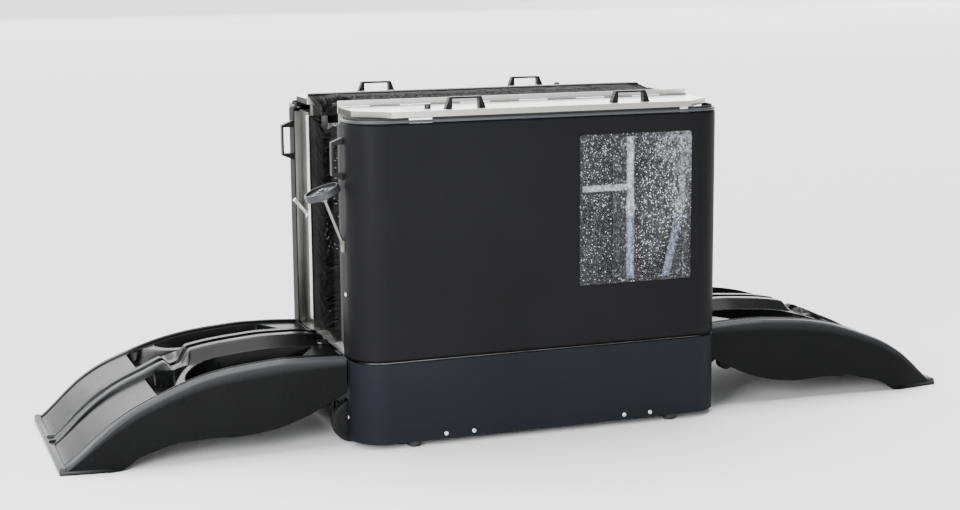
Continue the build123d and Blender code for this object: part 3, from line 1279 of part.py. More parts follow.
def make_feet():
    """Rubber feet under the long tubes."""
    x = FRAME_HALF_LENGTH - 2 * TUBE
    y = INNER_Y - TUBE / 2
    foot = Cylinder(FOOT_RADIUS, FOOT_HEIGHT, align=(Align.CENTER, Align.CENTER, Align.MIN))
    foot = chamfer(foot.faces().sort_by(Axis.Z)[0].edges(), FOOT_HEIGHT / 5)
    return [Pos(sx * x, sy * y, 0) * foot for sx in (-1, 1) for sy in (-1, 1)]


def write(name, *shapes):
    """One STEP file for a node, with one or more separate solids."""
    solids = []
    for shape in shapes:
        solids += shape.solids()
    body = solids[0] if len(solids) == 1 else Compound(children=solids)
    export_step(body, f"parts/{name}.step")


def main():
    """Build every piece and write its node."""
    os.makedirs("parts", exist_ok=True)
    front_skirt, rear_skirt = make_skirts()
    write("front_skirt", front_skirt)
    write("rear_skirt", rear_skirt)
    write("base_frame", make_base_frame())
    write("rubber_feet", *make_feet())
    write("sump_tank", make_sump_tank())
    write("filter_baskets", *both(make_filter_basket()))
    write("wheel_track", make_wheel_track())
    write("roller_bearings", *make_bearings())
    write("drive_motors", *both(make_motor()))
    write("drive_belts", *both(make_belt()))
    write("pumps", *both(make_pump()))
    screws = [panel_screw(place, way) for place, way in screw_places()]
    write("panel_screws", *screws, *[turned(screw) for screw in screws])
    write("inlet_stubs", *both(make_inlet_stub()))
    write("end_handles", *make_end_handles())
    write("brush_holders", *make_brush_holders(), *[turned(strip) for strip in make_brush_holders()])
    write("lid_hinges", *both(make_lid_hinge()))
    write("lid_rests", *make_lid_rests(), *[turned(piece) for piece in make_lid_rests()])
    write("spray_pipes", *make_spray_pipes(), *[turned(pipe) for pipe in make_spray_pipes()])
    write("spray_nozzles", *make_nozzles(), *[turned(piece) for piece in make_nozzles()])
    write("hose_couplings", *make_couplings(), *[turned(piece) for piece in make_couplings()])
    write("handwheel_spindles", *both(make_spindle()))
    pane, gasket = make_window()
    write("window_gaskets", *both(gasket))
    halves = {
        "casing": [make_casing()],
        "inner_frame": [make_inner_frame()],
        "window": [pane],
        "hoses": make_hoses(),
        "top_brush": [make_top_brush()],
        "lid": [make_lid()],
        "lid_handles": make_lid_handles(),
        "latch": [make_latch()],
        "handwheel": [make_handwheel()],
        "motor_roller_shaft": [make_roller_shaft(ROLLER_FAR_X, motor_top() - SHAFT_ENGAGEMENT)],
        "motor_roller_brush": [make_roller_sleeve(ROLLER_FAR_X)],
        "belt_roller_shaft": [make_roller_shaft(ROLLER_NEAR_X, PULLEY_BOTTOM - TAIL_LENGTH)],
        "belt_roller_brush": [make_roller_sleeve(ROLLER_NEAR_X)],
    }
    for name, shapes in halves.items():
        write(f"front_{name}", *shapes)
        write(f"rear_{name}", *[turned(shape) for shape in shapes])
    entry_brush = make_end_brush(-BRUSH_X, -POST_INNER_Y + HOLDER_THICKNESS)
    exit_brush = make_end_brush(BRUSH_X, -POST_INNER_Y + HOLDER_THICKNESS)
    write("entry_front_brush", entry_brush)
    write("entry_rear_brush", turned(exit_brush))
    write("exit_front_brush", exit_brush)
    write("exit_rear_brush", turned(entry_brush))
    ramp = make_ramp()
    write("exit_ramp", ramp)
    write("entry_ramp", turned(ramp))
    brackets = make_ramp_brackets()
    pins = make_ramp_pins()
    write("ramp_brackets", *brackets, *[turned(piece) for piece in brackets])
    write("ramp_pins", *pins, *[turned(pin) for pin in pins])
    for name, y in (("front", -WHEEL_Y), ("rear", WHEEL_Y)):
        write(f"{name}_transport_wheel", make_transport_wheel(y))
    write("wheel_forks", make_wheel_fork(-WHEEL_Y), make_wheel_fork(WHEEL_Y))
    write("wheel_axles", make_axle(-WHEEL_Y), make_axle(WHEEL_Y))


main()
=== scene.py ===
"""Looks of a walk-through bicycle washing machine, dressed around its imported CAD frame.

Lengths are in metres, apart from the ramps, which are drawn in millimetres.
"""

from __future__ import annotations

import json
import logging
import math
import random
from dataclasses import dataclass
from enum import Enum
from functools import cached_property
from itertools import product
from typing import Any, Iterable, Sequence, Union

import bmesh
import bpy
from mathutils import Matrix, Vector

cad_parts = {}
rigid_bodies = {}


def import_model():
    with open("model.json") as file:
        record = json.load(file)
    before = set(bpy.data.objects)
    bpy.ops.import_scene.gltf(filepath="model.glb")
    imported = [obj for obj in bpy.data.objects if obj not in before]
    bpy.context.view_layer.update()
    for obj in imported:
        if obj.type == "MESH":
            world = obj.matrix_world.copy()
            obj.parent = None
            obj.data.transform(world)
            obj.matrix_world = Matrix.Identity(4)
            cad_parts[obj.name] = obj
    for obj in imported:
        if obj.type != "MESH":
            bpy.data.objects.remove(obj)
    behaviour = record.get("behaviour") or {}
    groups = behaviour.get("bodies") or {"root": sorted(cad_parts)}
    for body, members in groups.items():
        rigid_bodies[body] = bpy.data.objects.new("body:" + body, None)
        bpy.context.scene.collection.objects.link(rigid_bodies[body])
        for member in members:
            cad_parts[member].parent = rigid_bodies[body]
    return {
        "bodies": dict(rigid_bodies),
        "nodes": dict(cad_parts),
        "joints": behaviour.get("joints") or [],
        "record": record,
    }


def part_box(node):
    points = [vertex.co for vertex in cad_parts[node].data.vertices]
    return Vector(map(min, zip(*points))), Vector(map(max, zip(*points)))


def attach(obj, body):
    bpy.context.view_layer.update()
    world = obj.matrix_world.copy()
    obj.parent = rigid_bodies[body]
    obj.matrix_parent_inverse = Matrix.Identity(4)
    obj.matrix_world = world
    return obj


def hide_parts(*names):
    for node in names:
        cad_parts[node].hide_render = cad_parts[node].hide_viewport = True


LOG = logging.getLogger("bicycle_washer")
Colour = tuple[float, float, float]
Point = tuple[float, float, float]
Span = tuple[float, float]
Profile = Sequence[tuple[float, float]]
HALF_TURN = Matrix.Rotation(math.pi, 4, "Z")
MILLIMETRE = 0.001
MERGE_DISTANCE = 1e-6
SHARP_ANGLE = math.radians(38.0)
STRAND_OVERLAP = 1.02
# Colour sockets of a Mix node, whose names are shared by its other sockets
MIX_FIRST, MIX_SECOND, MIX_RESULT = 6, 7, 2
# Attribute on the ramps' points that their plastic reads: how much painted highlight each point gets
HIGHLIGHT = "painted_highlight"


class Half(Enum):
    """The two equal halves of the machine; the rear one is the front one turned half a turn."""

    FRONT = "front"
    REAR = "rear"

    @property
    def turn(self) -> Matrix:
        """Transform from the front half's place to this half's place."""
        return Matrix.Identity(4) if self is Half.FRONT else HALF_TURN

    @property
    def outward(self) -> float:
        """Sign of Y on this half's outer side."""
        return -1.0 if self is Half.FRONT else 1.0


class End(Enum):
    """The two ends of the passage; the entry is the exit turned half a turn."""

    ENTRY = "entry"
    EXIT = "exit"

    @property
    def turn(self) -> Matrix:
        """Transform from the exit's place to this end's place."""
        return Matrix.Identity(4) if self is End.EXIT else HALF_TURN


class Drive(Enum):
    """What turns a brush roller: its own motor, or the belt from the other roller."""

    MOTOR = "motor"
    BELT = "belt"


class Grain(Enum):
    """Direction of a brushed finish, as the scale of its noise in X, Y and Z."""

    ALONG_X = (3.0, 260.0, 260.0)
    ALONG_Z = (260.0, 260.0, 3.0)


class Wire:
    """A shader socket that takes part in Python arithmetic."""

    def __init__(self, shader: Shader, socket: bpy.types.NodeSocket) -> None:
        """Keeps the socket and the shader it belongs to."""
        self.shader = shader
        self.socket = socket

    def _math(self, operation: str, first: Operand, second: Operand) -> Wire:
        """Adds one Math node with its operation, left side and right side."""
        return self.shader.wire("ShaderNodeMath", {0: first, 1: second}, {"operation": operation})

    def __add__(self, other: Operand) -> Wire:
        """Sum."""
        return self._math("ADD", self, other)

    def __radd__(self, other: Operand) -> Wire:
        """Sum, reflected."""
        return self._math("ADD", other, self)

    def __sub__(self, other: Operand) -> Wire:
        """Difference."""
        return self._math("SUBTRACT", self, other)

    def __rsub__(self, other: Operand) -> Wire:
        """Difference, reflected."""
        return self._math("SUBTRACT", other, self)

    def __mul__(self, other: Operand) -> Wire:
        """Product."""
        return self._math("MULTIPLY", self, other)

    def __rmul__(self, other: Operand) -> Wire:
        """Product, reflected."""
        return self._math("MULTIPLY", other, self)

    def __abs__(self) -> Wire:
        """Size without sign."""
        return self._math("ABSOLUTE", self, 0.0)

    def __gt__(self, other: Operand) -> Wire:
        """1 where this is above the other, else 0."""
        return self._math("GREATER_THAN", self, other)

    def __lt__(self, other: Operand) -> Wire:
        """1 where this is below the other, else 0."""
        return self._math("LESS_THAN", self, other)


Operand = Union[Wire, float]


class Shader:
    """One node material, put together from a few readable calls."""

    def __init__(self, name: str) -> None:
        """Starts an empty node material.

        Args:
            name: the material's name.
        """
        self.material = bpy.data.materials.new(name)
        self.material.use_nodes = True
        self.tree = self.material.node_tree
        self.tree.nodes.clear()

    def node(self, kind: str, values: dict[Any, Any],
             settings: dict[str, Any] | None = None) -> bpy.types.Node:
        """Adds a node.

        Args:
            kind: Blender's node type.
            values: what each input socket gets, a wire or a constant.
            settings: attributes of the node, which are set first.

        Returns:
            The node.
        """
        made = self.tree.nodes.new(kind)
        for key, value in (settings or {}).items():
            setattr(made, key, value)
        for key, value in values.items():
            if isinstance(value, Wire):
                self.tree.links.new(value.socket, made.inputs[key])
            else:
                made.inputs[key].default_value = value
        return made

    def wire(self, kind: str, values: dict[Any, Any], settings: dict[str, Any] | None = None,
             output: int | str = 0) -> Wire:
        """Adds a node and takes one of its outputs.

        Args:
            kind: Blender's node type.
            values: what each input socket gets, a wire or a constant.
            settings: attributes of the node, which are set first.
            output: number or name of the output.

        Returns:
            The output as a wire.
        """
        return Wire(self, self.node(kind, values, settings).outputs[output])

    def place(self, scale: Point = (1.0, 1.0, 1.0), turn: Point = (0.0, 0.0, 0.0)) -> Wire:
        """Object coordinates, scaled and turned about each axis."""
        source = self.wire("ShaderNodeTexCoord", {}, output="Object")
        return self.wire("ShaderNodeMapping", {"Vector": source, "Scale": scale, "Rotation": turn})

    def axes(self) -> tuple[Wire, ...]:
        """Object coordinates as three separate numbers."""
        split = self.node("ShaderNodeSeparateXYZ", {0: self.place()})
        return tuple(Wire(self, socket) for socket in split.outputs)

    def noise(self, where: Wire, scale: float, detail: float = 2.0, roughness: float = 0.5) -> Wire:
        """Soft noise between 0 and 1.

        Args:
            where: coordinates.
            scale: how fine the noise is.
            detail: number of finer layers on top.
            roughness: strength of each finer layer.

        Returns:
            The noise.
        """
        return self.wire("ShaderNodeTexNoise", {"Vector": where, "Scale": scale, "Detail": detail,
                                                "Roughness": roughness})

    def cells(self, where: Wire, scale: float, output: str = "Distance") -> Wire:
        """Distance to, or random colour of, the nearest of many scattered points."""
        return self.wire("ShaderNodeTexVoronoi", {"Vector": where, "Scale": scale}, output=output)

    def attribute(self, name: str) -> Wire:
        """A value that the piece keeps on its points."""
        return self.wire("ShaderNodeAttribute", {}, {"attribute_name": name}, "Fac")

    def ease(self, value: Wire, low: float, high: float) -> Wire:
        """0 below low, 1 above high and smooth between."""
        return self.wire("ShaderNodeMapRange", {"Value": value, "From Min": low, "From Max": high},
                         {"interpolation_type": "SMOOTHSTEP"})

    def mix(self, share: Wire, first: Wire | Colour, second: Wire | Colour) -> Wire:
        """Blend of two colours.

        Args:
            share: 0 for the first colour, 1 for the second.
            first: a wire or a colour.
            second: a wire or a colour.

        Returns:
            The blended colour.
        """
        sides = [side if isinstance(side, Wire) else (*side, 1.0) for side in (first, second)]
        values = {0: share, MIX_FIRST: sides[0], MIX_SECOND: sides[1]}
        return self.wire("ShaderNodeMix", values, {"data_type": "RGBA"}, MIX_RESULT)

    def bump(self, height: Wire, strength: float, distance: float) -> Wire:
        """Surface normal from a height."""
        return self.wire("ShaderNodeBump", {"Height": height, "Strength": strength, "Distance": distance})

    def surface(self, values: dict[str, Any]) -> bpy.types.Material:
        """Closes the material with a Principled surface.

        Args:
            values: sockets of the Principled node, wires or constants.

        Returns:
            The finished material.
        """
        self.node("ShaderNodeOutputMaterial", {0: self.wire("ShaderNodeBsdfPrincipled", values)})
        return self.material


def around(level: float, noise: Wire, span: float) -> Wire:
    """A level that noise between 0 and 1 moves up and down by half a span."""
    return level - span / 2 + noise * span


@dataclass(frozen=True)
class Finish:
    """A finish of the machine, known by its material's name."""

    name: str

    def values(self, shader: Shader) -> dict[str, Any]:
        """Sockets of the Principled surface; each finish has its own."""
        raise NotImplementedError

    def material(self) -> bpy.types.Material:
        """Builds the material."""
        shader = Shader(self.name)
        return shader.surface(self.values(shader))


@dataclass(frozen=True)
class SatinPaint(Finish):
    """Powder coat: fine peel, faint cloudiness and, where a height is given, black below it as a painted
    shadow of the seam there.
    """

    colour: Colour
    shade: Colour
    roughness: float = 0.36
    specular: float = 0.045
    cloud_scale: float = 2.2
    smear_scale: float = 14.0
    peel_scale: float = 900.0
    peel_depth: float = 0.00006
    # Height below which the paint turns black, and that black: a painted shadow of the seam at the foot
    seam_shadow_z: float | None = None
    foot: Colour = (0.0003, 0.0003, 0.0003)

    def values(self, shader: Shader) -> dict[str, Any]:
        """Cloudy colour, smeared gloss and peel.

        Args:
            shader: the material that is being built.

        Returns:
            Sockets of the Principled surface.
        """
        where = shader.place()
        cloud = shader.noise(where, self.cloud_scale, detail=3.0)
        smear = shader.noise(where, self.smear_scale, detail=4.0, roughness=0.6)
        peel = shader.noise(where, self.peel_scale)
        colour = shader.mix(shader.ease(cloud, low=0.3, high=0.7), self.shade, self.colour)
        # Painted shadow: black below the given height, along the seam at the casing's foot
        if self.seam_shadow_z is not None:
            colour = shader.mix(shader.axes()[2] < self.seam_shadow_z, colour, self.foot)
        return {"Base Color": colour, "Roughness": around(self.roughness, smear, span=0.1),
                "Normal": shader.bump(peel, strength=0.25, distance=self.peel_depth),
                "Specular IOR Level": self.specular}


@dataclass(frozen=True)
class BrushedSteel(Finish):
    """Stainless sheet with a fine grain in one direction."""

    colour: Colour
    shade: Colour
    grain: Grain = Grain.ALONG_X
    roughness: float = 0.3
    stain_scale: float = 7.0
    grain_depth: float = 0.0002

    def values(self, shader: Shader) -> dict[str, Any]:
        """Bare metal with grain lines and faint stains.

        Args:
            shader: the material that is being built.

        Returns:
            Sockets of the Principled surface.
        """
        lines = shader.noise(shader.place(self.grain.value), 1.0, detail=4.0, roughness=0.65)
        stain = shader.noise(shader.place(), self.stain_scale, detail=4.0, roughness=0.6)
        bright = shader.ease(lines * 0.6 + stain * 0.4, low=0.3, high=0.7)
        return {"Base Color": shader.mix(bright, self.shade, self.colour), "Metallic": 1.0,
                "Roughness": self.roughness - 0.08 + lines * 0.1 + stain * 0.08,
                "Normal": shader.bump(lines, strength=0.12, distance=self.grain_depth)}


@dataclass(frozen=True)
class PartShadedSteel(BrushedSteel):
    """Stainless sheet with painted shade in one region: darker, rougher and not metallic there."""

    # Colour and extra roughness of the painted shade
    dull: Colour = (0.035, 0.036, 0.030)
    shade_roughness: float = 0.6

    def tone(self, shader: Shader, sheet: Wire) -> Wire:
        """Colour of the bright sheet from place to place."""
        return sheet

    def shaded_region(self, shader: Shader) -> Wire:
        """1 where shade is painted on the metal, else 0; each such sheet has its own region."""
        raise NotImplementedError

    def values(self, shader: Shader) -> dict[str, Any]:
        """Bare metal, with its region of painted shade.

        Args:
            shader: the material that is being built.

        Returns:
            Sockets of the Principled surface.
        """
        values = super().values(shader)
        # Painted shade over the region
        dull = self.shaded_region(shader)
        colour = shader.mix(dull, self.tone(shader, values["Base Color"]), self.dull)
        rough = values["Roughness"] + dull * self.shade_roughness
        return {**values, "Base Color": colour, "Metallic": 1.0 - dull, "Roughness": rough}


@dataclass(frozen=True)
class LidSteel(PartShadedSteel):
    """Lid sheet: bright on top, with painted shade on the faces below the top and darker painted shade on
    its ends.
    """

    # Colour of the painted shade on the faces below the top
    edge: Colour = (0.36, 0.355, 0.335)
    top_z: float = 1.1394
    end_x: float = 0.6554

    def tone(self, shader: Shader, sheet: Wire) -> Wire:
        """Paints shade on the sheet below its top face."""
        return shader.mix(shader.axes()[2] < self.top_z, sheet, self.edge)

    def shaded_region(self, shader: Shader) -> Wire:
        """1 on the ends, where shade is painted."""
        return abs(shader.axes()[0]) > self.end_x


@dataclass(frozen=True)
class HolderSteel(PartShadedSteel):
    """Brush rails: bright, with painted shade on two of the upright ones."""

    rail_z: float = 1.086

    def shaded_region(self, shader: Shader) -> Wire:
        """1 on the upright rails at the entry's front and the exit's rear, where shade is painted."""
        x, y, z = shader.axes()
        return (x * y > 0.0) * (z < self.rail_z)


@dataclass(frozen=True)
class MouldedPlastic(Finish):
    """Moulded plastic with a fine pebbled grain, dull patches and, on the ramps, painted highlights on the
    edges.
    """

    colour: Colour
    worn: Colour
    roughness: float = 0.45
    pebble_scale: float = 700.0
    pebble_depth: float = 0.00012
    specular: float = 0.3
    # Colour of the painted highlight on the ramps' rims and track edges
    highlight_colour: Colour | None = None
    patch_scale: float = 4.0
    dust_scale: float = 60.0

    def values(self, shader: Shader) -> dict[str, Any]:
        """Patchy colour and gloss over the pebbled grain.

        Args:
            shader: the material that is being built.

        Returns:
            Sockets of the Principled surface.
        """
        where = shader.place()
        pebble = shader.cells(where, self.pebble_scale)
        patch = shader.noise(where, self.patch_scale, detail=5.0, roughness=0.6)
        dust = shader.noise(where, self.dust_scale, detail=3.0, roughness=0.7)
        worn = shader.ease(patch * 0.7 + dust * 0.3, low=0.42, high=0.75)
        colour = shader.mix(worn, self.colour, self.worn)
        # Painted highlight: lighter where the points carry it
        if self.highlight_colour:
            colour = shader.mix(shader.attribute(HIGHLIGHT), colour, self.highlight_colour)
        return {"Base Color": colour, "Roughness": around(self.roughness, patch, span=0.14),
                "Specular IOR Level": self.specular,
                "Normal": shader.bump(pebble, strength=0.2, distance=self.pebble_depth)}


@dataclass(frozen=True)
class BristleNylon(Finish):
    """Bristle filament, dark, with lighter bits along the strands as painted glints."""

    dark: Colour
    # Colour of the painted glints
    light: Colour
    roughness: float = 0.4
    specular: float = 0.5
    strand_scale: float = 210.0
    wet_scale: float = 9.0

    def values(self, shader: Shader) -> dict[str, Any]:
        """Dark strands with painted glints, wet in places.

        Args:
            shader: the material that is being built.

        Returns:
            Sockets of the Principled surface.
        """
        where = shader.place()
        strand = shader.noise(where, self.strand_scale, detail=1.0)
        wet = shader.noise(where, self.wet_scale)
        # Painted glints: lighter bits where the fine noise is high
        return {"Base Color": shader.mix(shader.ease(strand, low=0.52, high=0.72), self.dark, self.light),
                "Roughness": around(self.roughness, wet, span=0.2), "Specular IOR Level": self.specular}


@dataclass(frozen=True)
class PlainMetal(Finish):
    """Bright plated steel with small tarnish spots."""

    colour: Colour
    roughness: float = 0.25
    spot_scale: float = 120.0
    tarnish: float = 0.7

    def values(self, shader: Shader) -> dict[str, Any]:
        """Metal with darker, rougher spots.

        Args:
            shader: the material that is being built.

        Returns:
            Sockets of the Principled surface.
        """
        spots = shader.noise(shader.place(), self.spot_scale, detail=3.0)
        dull = tuple(self.tarnish * part for part in self.colour)
        return {"Base Color": shader.mix(shader.ease(spots, low=0.45, high=0.7), self.colour, dull),
                "Metallic": 1.0, "Roughness": self.roughness + spots * 0.15}


@dataclass(frozen=True)
class WetPane(Finish):
    """Clear pane, misted and covered with droplets and streaks of water."""

    name: str = "wet_pane"
    mist: Colour = (0.07, 0.075, 0.085)
    haze: Colour = (0.30, 0.31, 0.36)
    # Near white of the drops: a painted highlight
    drop: Colour = (0.95, 0.96, 0.98)
    shadow: Colour = (0.006, 0.006, 0.007)
    fine_scale: float = 165.0
    fine_stretch: Point = (1.0, 1.0, 0.7)
    fine_lean: Point = (0.0, 0.5, 0.0)
    coarse_scale: float = 100.0
    streak_stretch: Point = (70.0, 70.0, 2.0)
    cloud_scale: float = 6.0
    wet_x: Span = (0.335, 0.375)
    wet_z: Span = (0.56, 0.74)
    run_x: Span = (0.43, 0.52)
    corner_reach: Span = (0.84, 1.04)
    refraction: float = 1.45

    def droplets(self, shader: Shader, where: Wire, scale: float) -> tuple[Wire, Wire]:
        """Distance from the nearest droplet's middle, and a random number for each droplet."""
        pick = shader.wire("ShaderNodeSeparateColor", {0: shader.cells(where, scale, "Color")})
        return shader.cells(where, scale), pick

    def values(self, shader: Shader) -> dict[str, Any]:
        """Drops painted near white as highlights, some fine ones with painted dark rims, on mist that
        thickens in the corners and where water runs down.

        Args:
            shader: the material that is being built.

        Returns:
            Sockets of the Principled surface.
        """
        where = shader.place()
        stretched = shader.place(self.fine_stretch, self.fine_lean)
        fine, fine_pick = self.droplets(shader, stretched, self.fine_scale)
        coarse, coarse_pick = self.droplets(shader, where, self.coarse_scale)
        fine_drop = (1.0 - shader.ease(fine, low=0.12, high=0.30)) * (fine_pick > 0.55)
        coarse_drop = (1.0 - shader.ease(coarse, low=0.12, high=0.25)) * (coarse_pick > 0.7)
        # Painted shade: dark rims round some of the fine drops
        ring = shader.ease(fine, low=0.22, high=0.5) * (fine_pick < 0.5)
        x, _, z = shader.axes()
        wet = shader.ease(abs(x), *self.wet_x) * shader.ease(z, *self.wet_z)
        run = shader.ease(abs(x), *self.run_x)
        corner = shader.ease(abs(x) * 0.8 + z * 0.6, *self.corner_reach)
        lines = shader.noise(shader.place(self.streak_stretch), 1.0, detail=3.0, roughness=0.6)
        streaks = shader.ease(lines, low=0.55, high=0.75)
        patches = shader.noise(where, self.cloud_scale, detail=3.0, roughness=0.6)
        cloud = shader.ease(patches, low=0.3, high=0.65)
        drops = (fine_drop * (0.45 + cloud * 0.55 + wet * 0.4) + coarse_drop * 0.9) * (1.0 - corner * 0.6)
        thick = cloud * 0.3 + streaks * (0.3 + run * 0.4) + corner * 0.4 + wet * 0.1
        behind = shader.mix(ring, shader.mix(thick, self.mist, self.haze), self.shadow)
        alpha = 0.1 + drops * 0.7 + streaks * (0.08 + run * 0.3) + cloud * 0.06 + ring * 0.28
        alpha = alpha + corner * 0.32 + wet * 0.05 + run * 0.04
        # Drops take the near white of painted highlight
        return {"Base Color": shader.mix(drops, behind, self.drop), "Alpha": alpha,
                "Roughness": 0.12 + drops * 0.3, "IOR": self.refraction,
                "Normal": shader.bump(fine_drop + coarse_drop, strength=0.4, distance=MILLIMETRE)}


@dataclass(frozen=True)
class FloorPaint(Finish):
    """Plain pale floor of the studio."""

    name: str = "studio_floor"
    colour: Colour = (0.86, 0.86, 0.86)
    roughness: float = 0.9
    specular: float = 0.1

    def values(self, shader: Shader) -> dict[str, Any]:
        """The same all over."""
        return {"Base Color": (*self.colour, 1.0), "Roughness": self.roughness,
                "Specular IOR Level": self.specular}


FINISHES: dict[str, Finish] = {
    # Casing paint, black along its foot as a painted shadow of the seam above the skirt
    "black_shell": SatinPaint("casing_paint", (0.0076, 0.0077, 0.0083), (0.0062, 0.0063, 0.0068), 0.48,
                              seam_shadow_z=0.308),
    # Lighter paint for the casings' rolled rims: a painted highlight
    "rim_highlight_paint": SatinPaint("rim_highlight_paint", (0.045, 0.047, 0.052), (0.036, 0.038, 0.042), 0.34, specular=0.25),
    # Lid stainless, with painted shade on its edges and ends
    "lid_steel": LidSteel("lid_stainless", (0.78, 0.78, 0.76), (0.68, 0.68, 0.66)),
    # Brush rails, with painted shade on the uprights at the entry's front and the exit's rear
    "holder_steel": HolderSteel("holder_rail", (0.92, 0.92, 0.90), (0.82, 0.82, 0.80), roughness=0.45),
    "skirt_shell": SatinPaint("skirt_paint", (0.0104, 0.0118, 0.0148), (0.0088, 0.0101, 0.0128), 0.46),
    "stainless": BrushedSteel("brushed_stainless", (0.72, 0.72, 0.70), (0.58, 0.58, 0.56)),
    # Darker copy of the brushed stainless: painted shade, for the uprights, lid hinges, spindles and post
    # angles
    "shaded_stainless": BrushedSteel("shaded_stainless", (0.17, 0.17, 0.158), (0.12, 0.12, 0.11),
                                      Grain.ALONG_Z, 0.38),
    "screw_steel": PlainMetal("zinc_screws", (0.8, 0.8, 0.8)),
    "frame_paint": SatinPaint("frame_paint", (0.012, 0.012, 0.013), (0.008, 0.008, 0.009), 0.5),
    "foot_rubber": MouldedPlastic("foot_rubber", (0.016, 0.016, 0.016), (0.03, 0.03, 0.03), 0.7, 900.0),
    "wheel_tyre": MouldedPlastic("tyre_rubber", (0.008, 0.008, 0.0085), (0.018, 0.018, 0.019), 0.55, 600.0,
                                 specular=0.12),
    "black_plastic": MouldedPlastic("handle_plastic", (0.006, 0.006, 0.006), (0.012, 0.012, 0.012), 0.38,
                                    900.0, pebble_depth=0.00008, specular=0.10),
    # Ramp plastic, lighter where painted highlight is kept on the points
    "ramp_plastic": MouldedPlastic("ramp_plastic", (0.0020, 0.0021, 0.0023), (0.0034, 0.0036, 0.0039), 0.28,
                                   520.0, pebble_depth=0.00006, specular=0.07,
                                   highlight_colour=(0.040, 0.0415, 0.044)),
    "black_bristle": BristleNylon("black_bristle", (0.0004, 0.0004, 0.0005), (0.014, 0.0145, 0.0145), 0.45,
                                  0.01),
    # Lighter copy of the black bristle for the top strips: painted light from above
    "lit_top_bristle": BristleNylon("lit_top_bristle", (0.0010, 0.0010, 0.0011), (0.034, 0.036, 0.035), 0.42, 0.02),
    "pale_bristle": BristleNylon("roller_bristle", (0.018, 0.019, 0.022), (0.13, 0.135, 0.15), 0.4, 0.2),
    "core_plastic": MouldedPlastic("core_plastic", (0.45, 0.46, 0.47), (0.35, 0.35, 0.35), 0.5, 800.0),
    "hose_plastic": MouldedPlastic("hose_plastic", (0.30, 0.36, 0.52), (0.45, 0.50, 0.64), 0.3, 900.0),
    "coupling_plastic": MouldedPlastic("white_coupling", (0.75, 0.76, 0.78), (0.6, 0.61, 0.62), 0.35,
                                       900.0),
    "wheel_plastic": MouldedPlastic("handwheel_plastic", (0.018, 0.019, 0.021), (0.04, 0.042, 0.046), 0.4),
    "pane": WetPane(),
}
# CAD nodes whose finish isn't the one of their material slot
NODE_FINISHES = {
    "front_skirt": "skirt_shell", "rear_skirt": "skirt_shell",
    "front_inner_frame": "shaded_stainless", "rear_inner_frame": "shaded_stainless",
    "front_latch": "wheel_plastic", "rear_latch": "wheel_plastic",
    "front_lid": "lid_steel", "rear_lid": "lid_steel",
    "lid_hinges": "shaded_stainless", "brush_holders": "holder_steel",
    "handwheel_spindles": "shaded_stainless", "spray_pipes": "coupling_plastic",
}


@dataclass
class Dressing:
    """Finishes of the machine, made once and handed to nodes and pieces."""

    nodes: dict[str, bpy.types.Object]

    def __post_init__(self) -> None:
        """Makes every material."""
        self.materials = {key: finish.material() for key, finish in FINISHES.items()}

    def coat(self, thing: bpy.types.Object, finish: str) -> None:
        """Gives an object one finish."""
        thing.data.materials.clear()
        thing.data.materials.append(self.materials[finish])

    def coat_nodes(self, record: dict[str, Any]) -> None:
        """Gives every CAD node its finish.

        Args:
            record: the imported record, whose sub-parts name each node's material slot.
        """
        for part in record["subparts"]:
            node = part["node"]
            self.coat(self.nodes[node], NODE_FINISHES.get(node, part["material_slot"]))


@dataclass
class Piece:
    """A new mesh piece that stands for CAD nodes, or is trim that none of them has."""

    name: str
    body: str
    slot: str
    replaced: tuple[str, ...]
    finish: str

    def finish_mesh(self, shape: bmesh.types.BMesh, dressing: Dressing) -> bpy.types.Object:
        """Turns a bmesh into the piece's object and puts it on its body.

        Args:
            shape: the finished bmesh, which is freed.
            dressing: the machine's finishes.

        Returns:
            The new object.
        """
        mesh = bpy.data.meshes.new(self.name)
        shape.to_mesh(mesh)
        shape.free()
        piece = bpy.data.objects.new(self.name, mesh)
        bpy.context.scene.collection.objects.link(piece)
        mesh.shade_smooth()
        mesh.set_sharp_from_angle(angle=SHARP_ANGLE)
        dressing.coat(piece, self.finish)
        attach(piece, self.body)
        if self.replaced:
            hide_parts(*self.replaced)
        LOG.info("piece %s: %d faces", self.name, len(mesh.polygons))
        return piece


def add_strand(shape: bmesh.types.BMesh, points: Sequence[Vector], root: float, tip: float,
               sides: int = 3) -> None:
    """Adds one tapered filament along a few points.

    Args:
        shape: the bmesh to add to.
        points: the filament's line, root first.
        root: radius at the root.
        tip: radius at the tip.
        sides: number of sides.
    """
    runs = len(points) - 1
    for i, (start, end) in enumerate(zip(points, points[1:])):
        way = end - start
        place = Matrix.Translation((start + end) / 2) @ way.to_track_quat("Z", "Y").to_matrix().to_4x4()
        low = root + (tip - root) * i / runs
        high = root + (tip - root) * (i + 1) / runs
        bmesh.ops.create_cone(shape, cap_ends=i == runs - 1, segments=sides, radius1=low, radius2=high,
                              depth=way.length * STRAND_OVERLAP, matrix=place)


def rectangle(near: float, far: float, low: float, high: float) -> list[tuple[float, float]]:
    """Corners of a rectangle, in order, from near to far and from low to high."""
    return [(near, low), (far, low), (far, high), (near, high)]


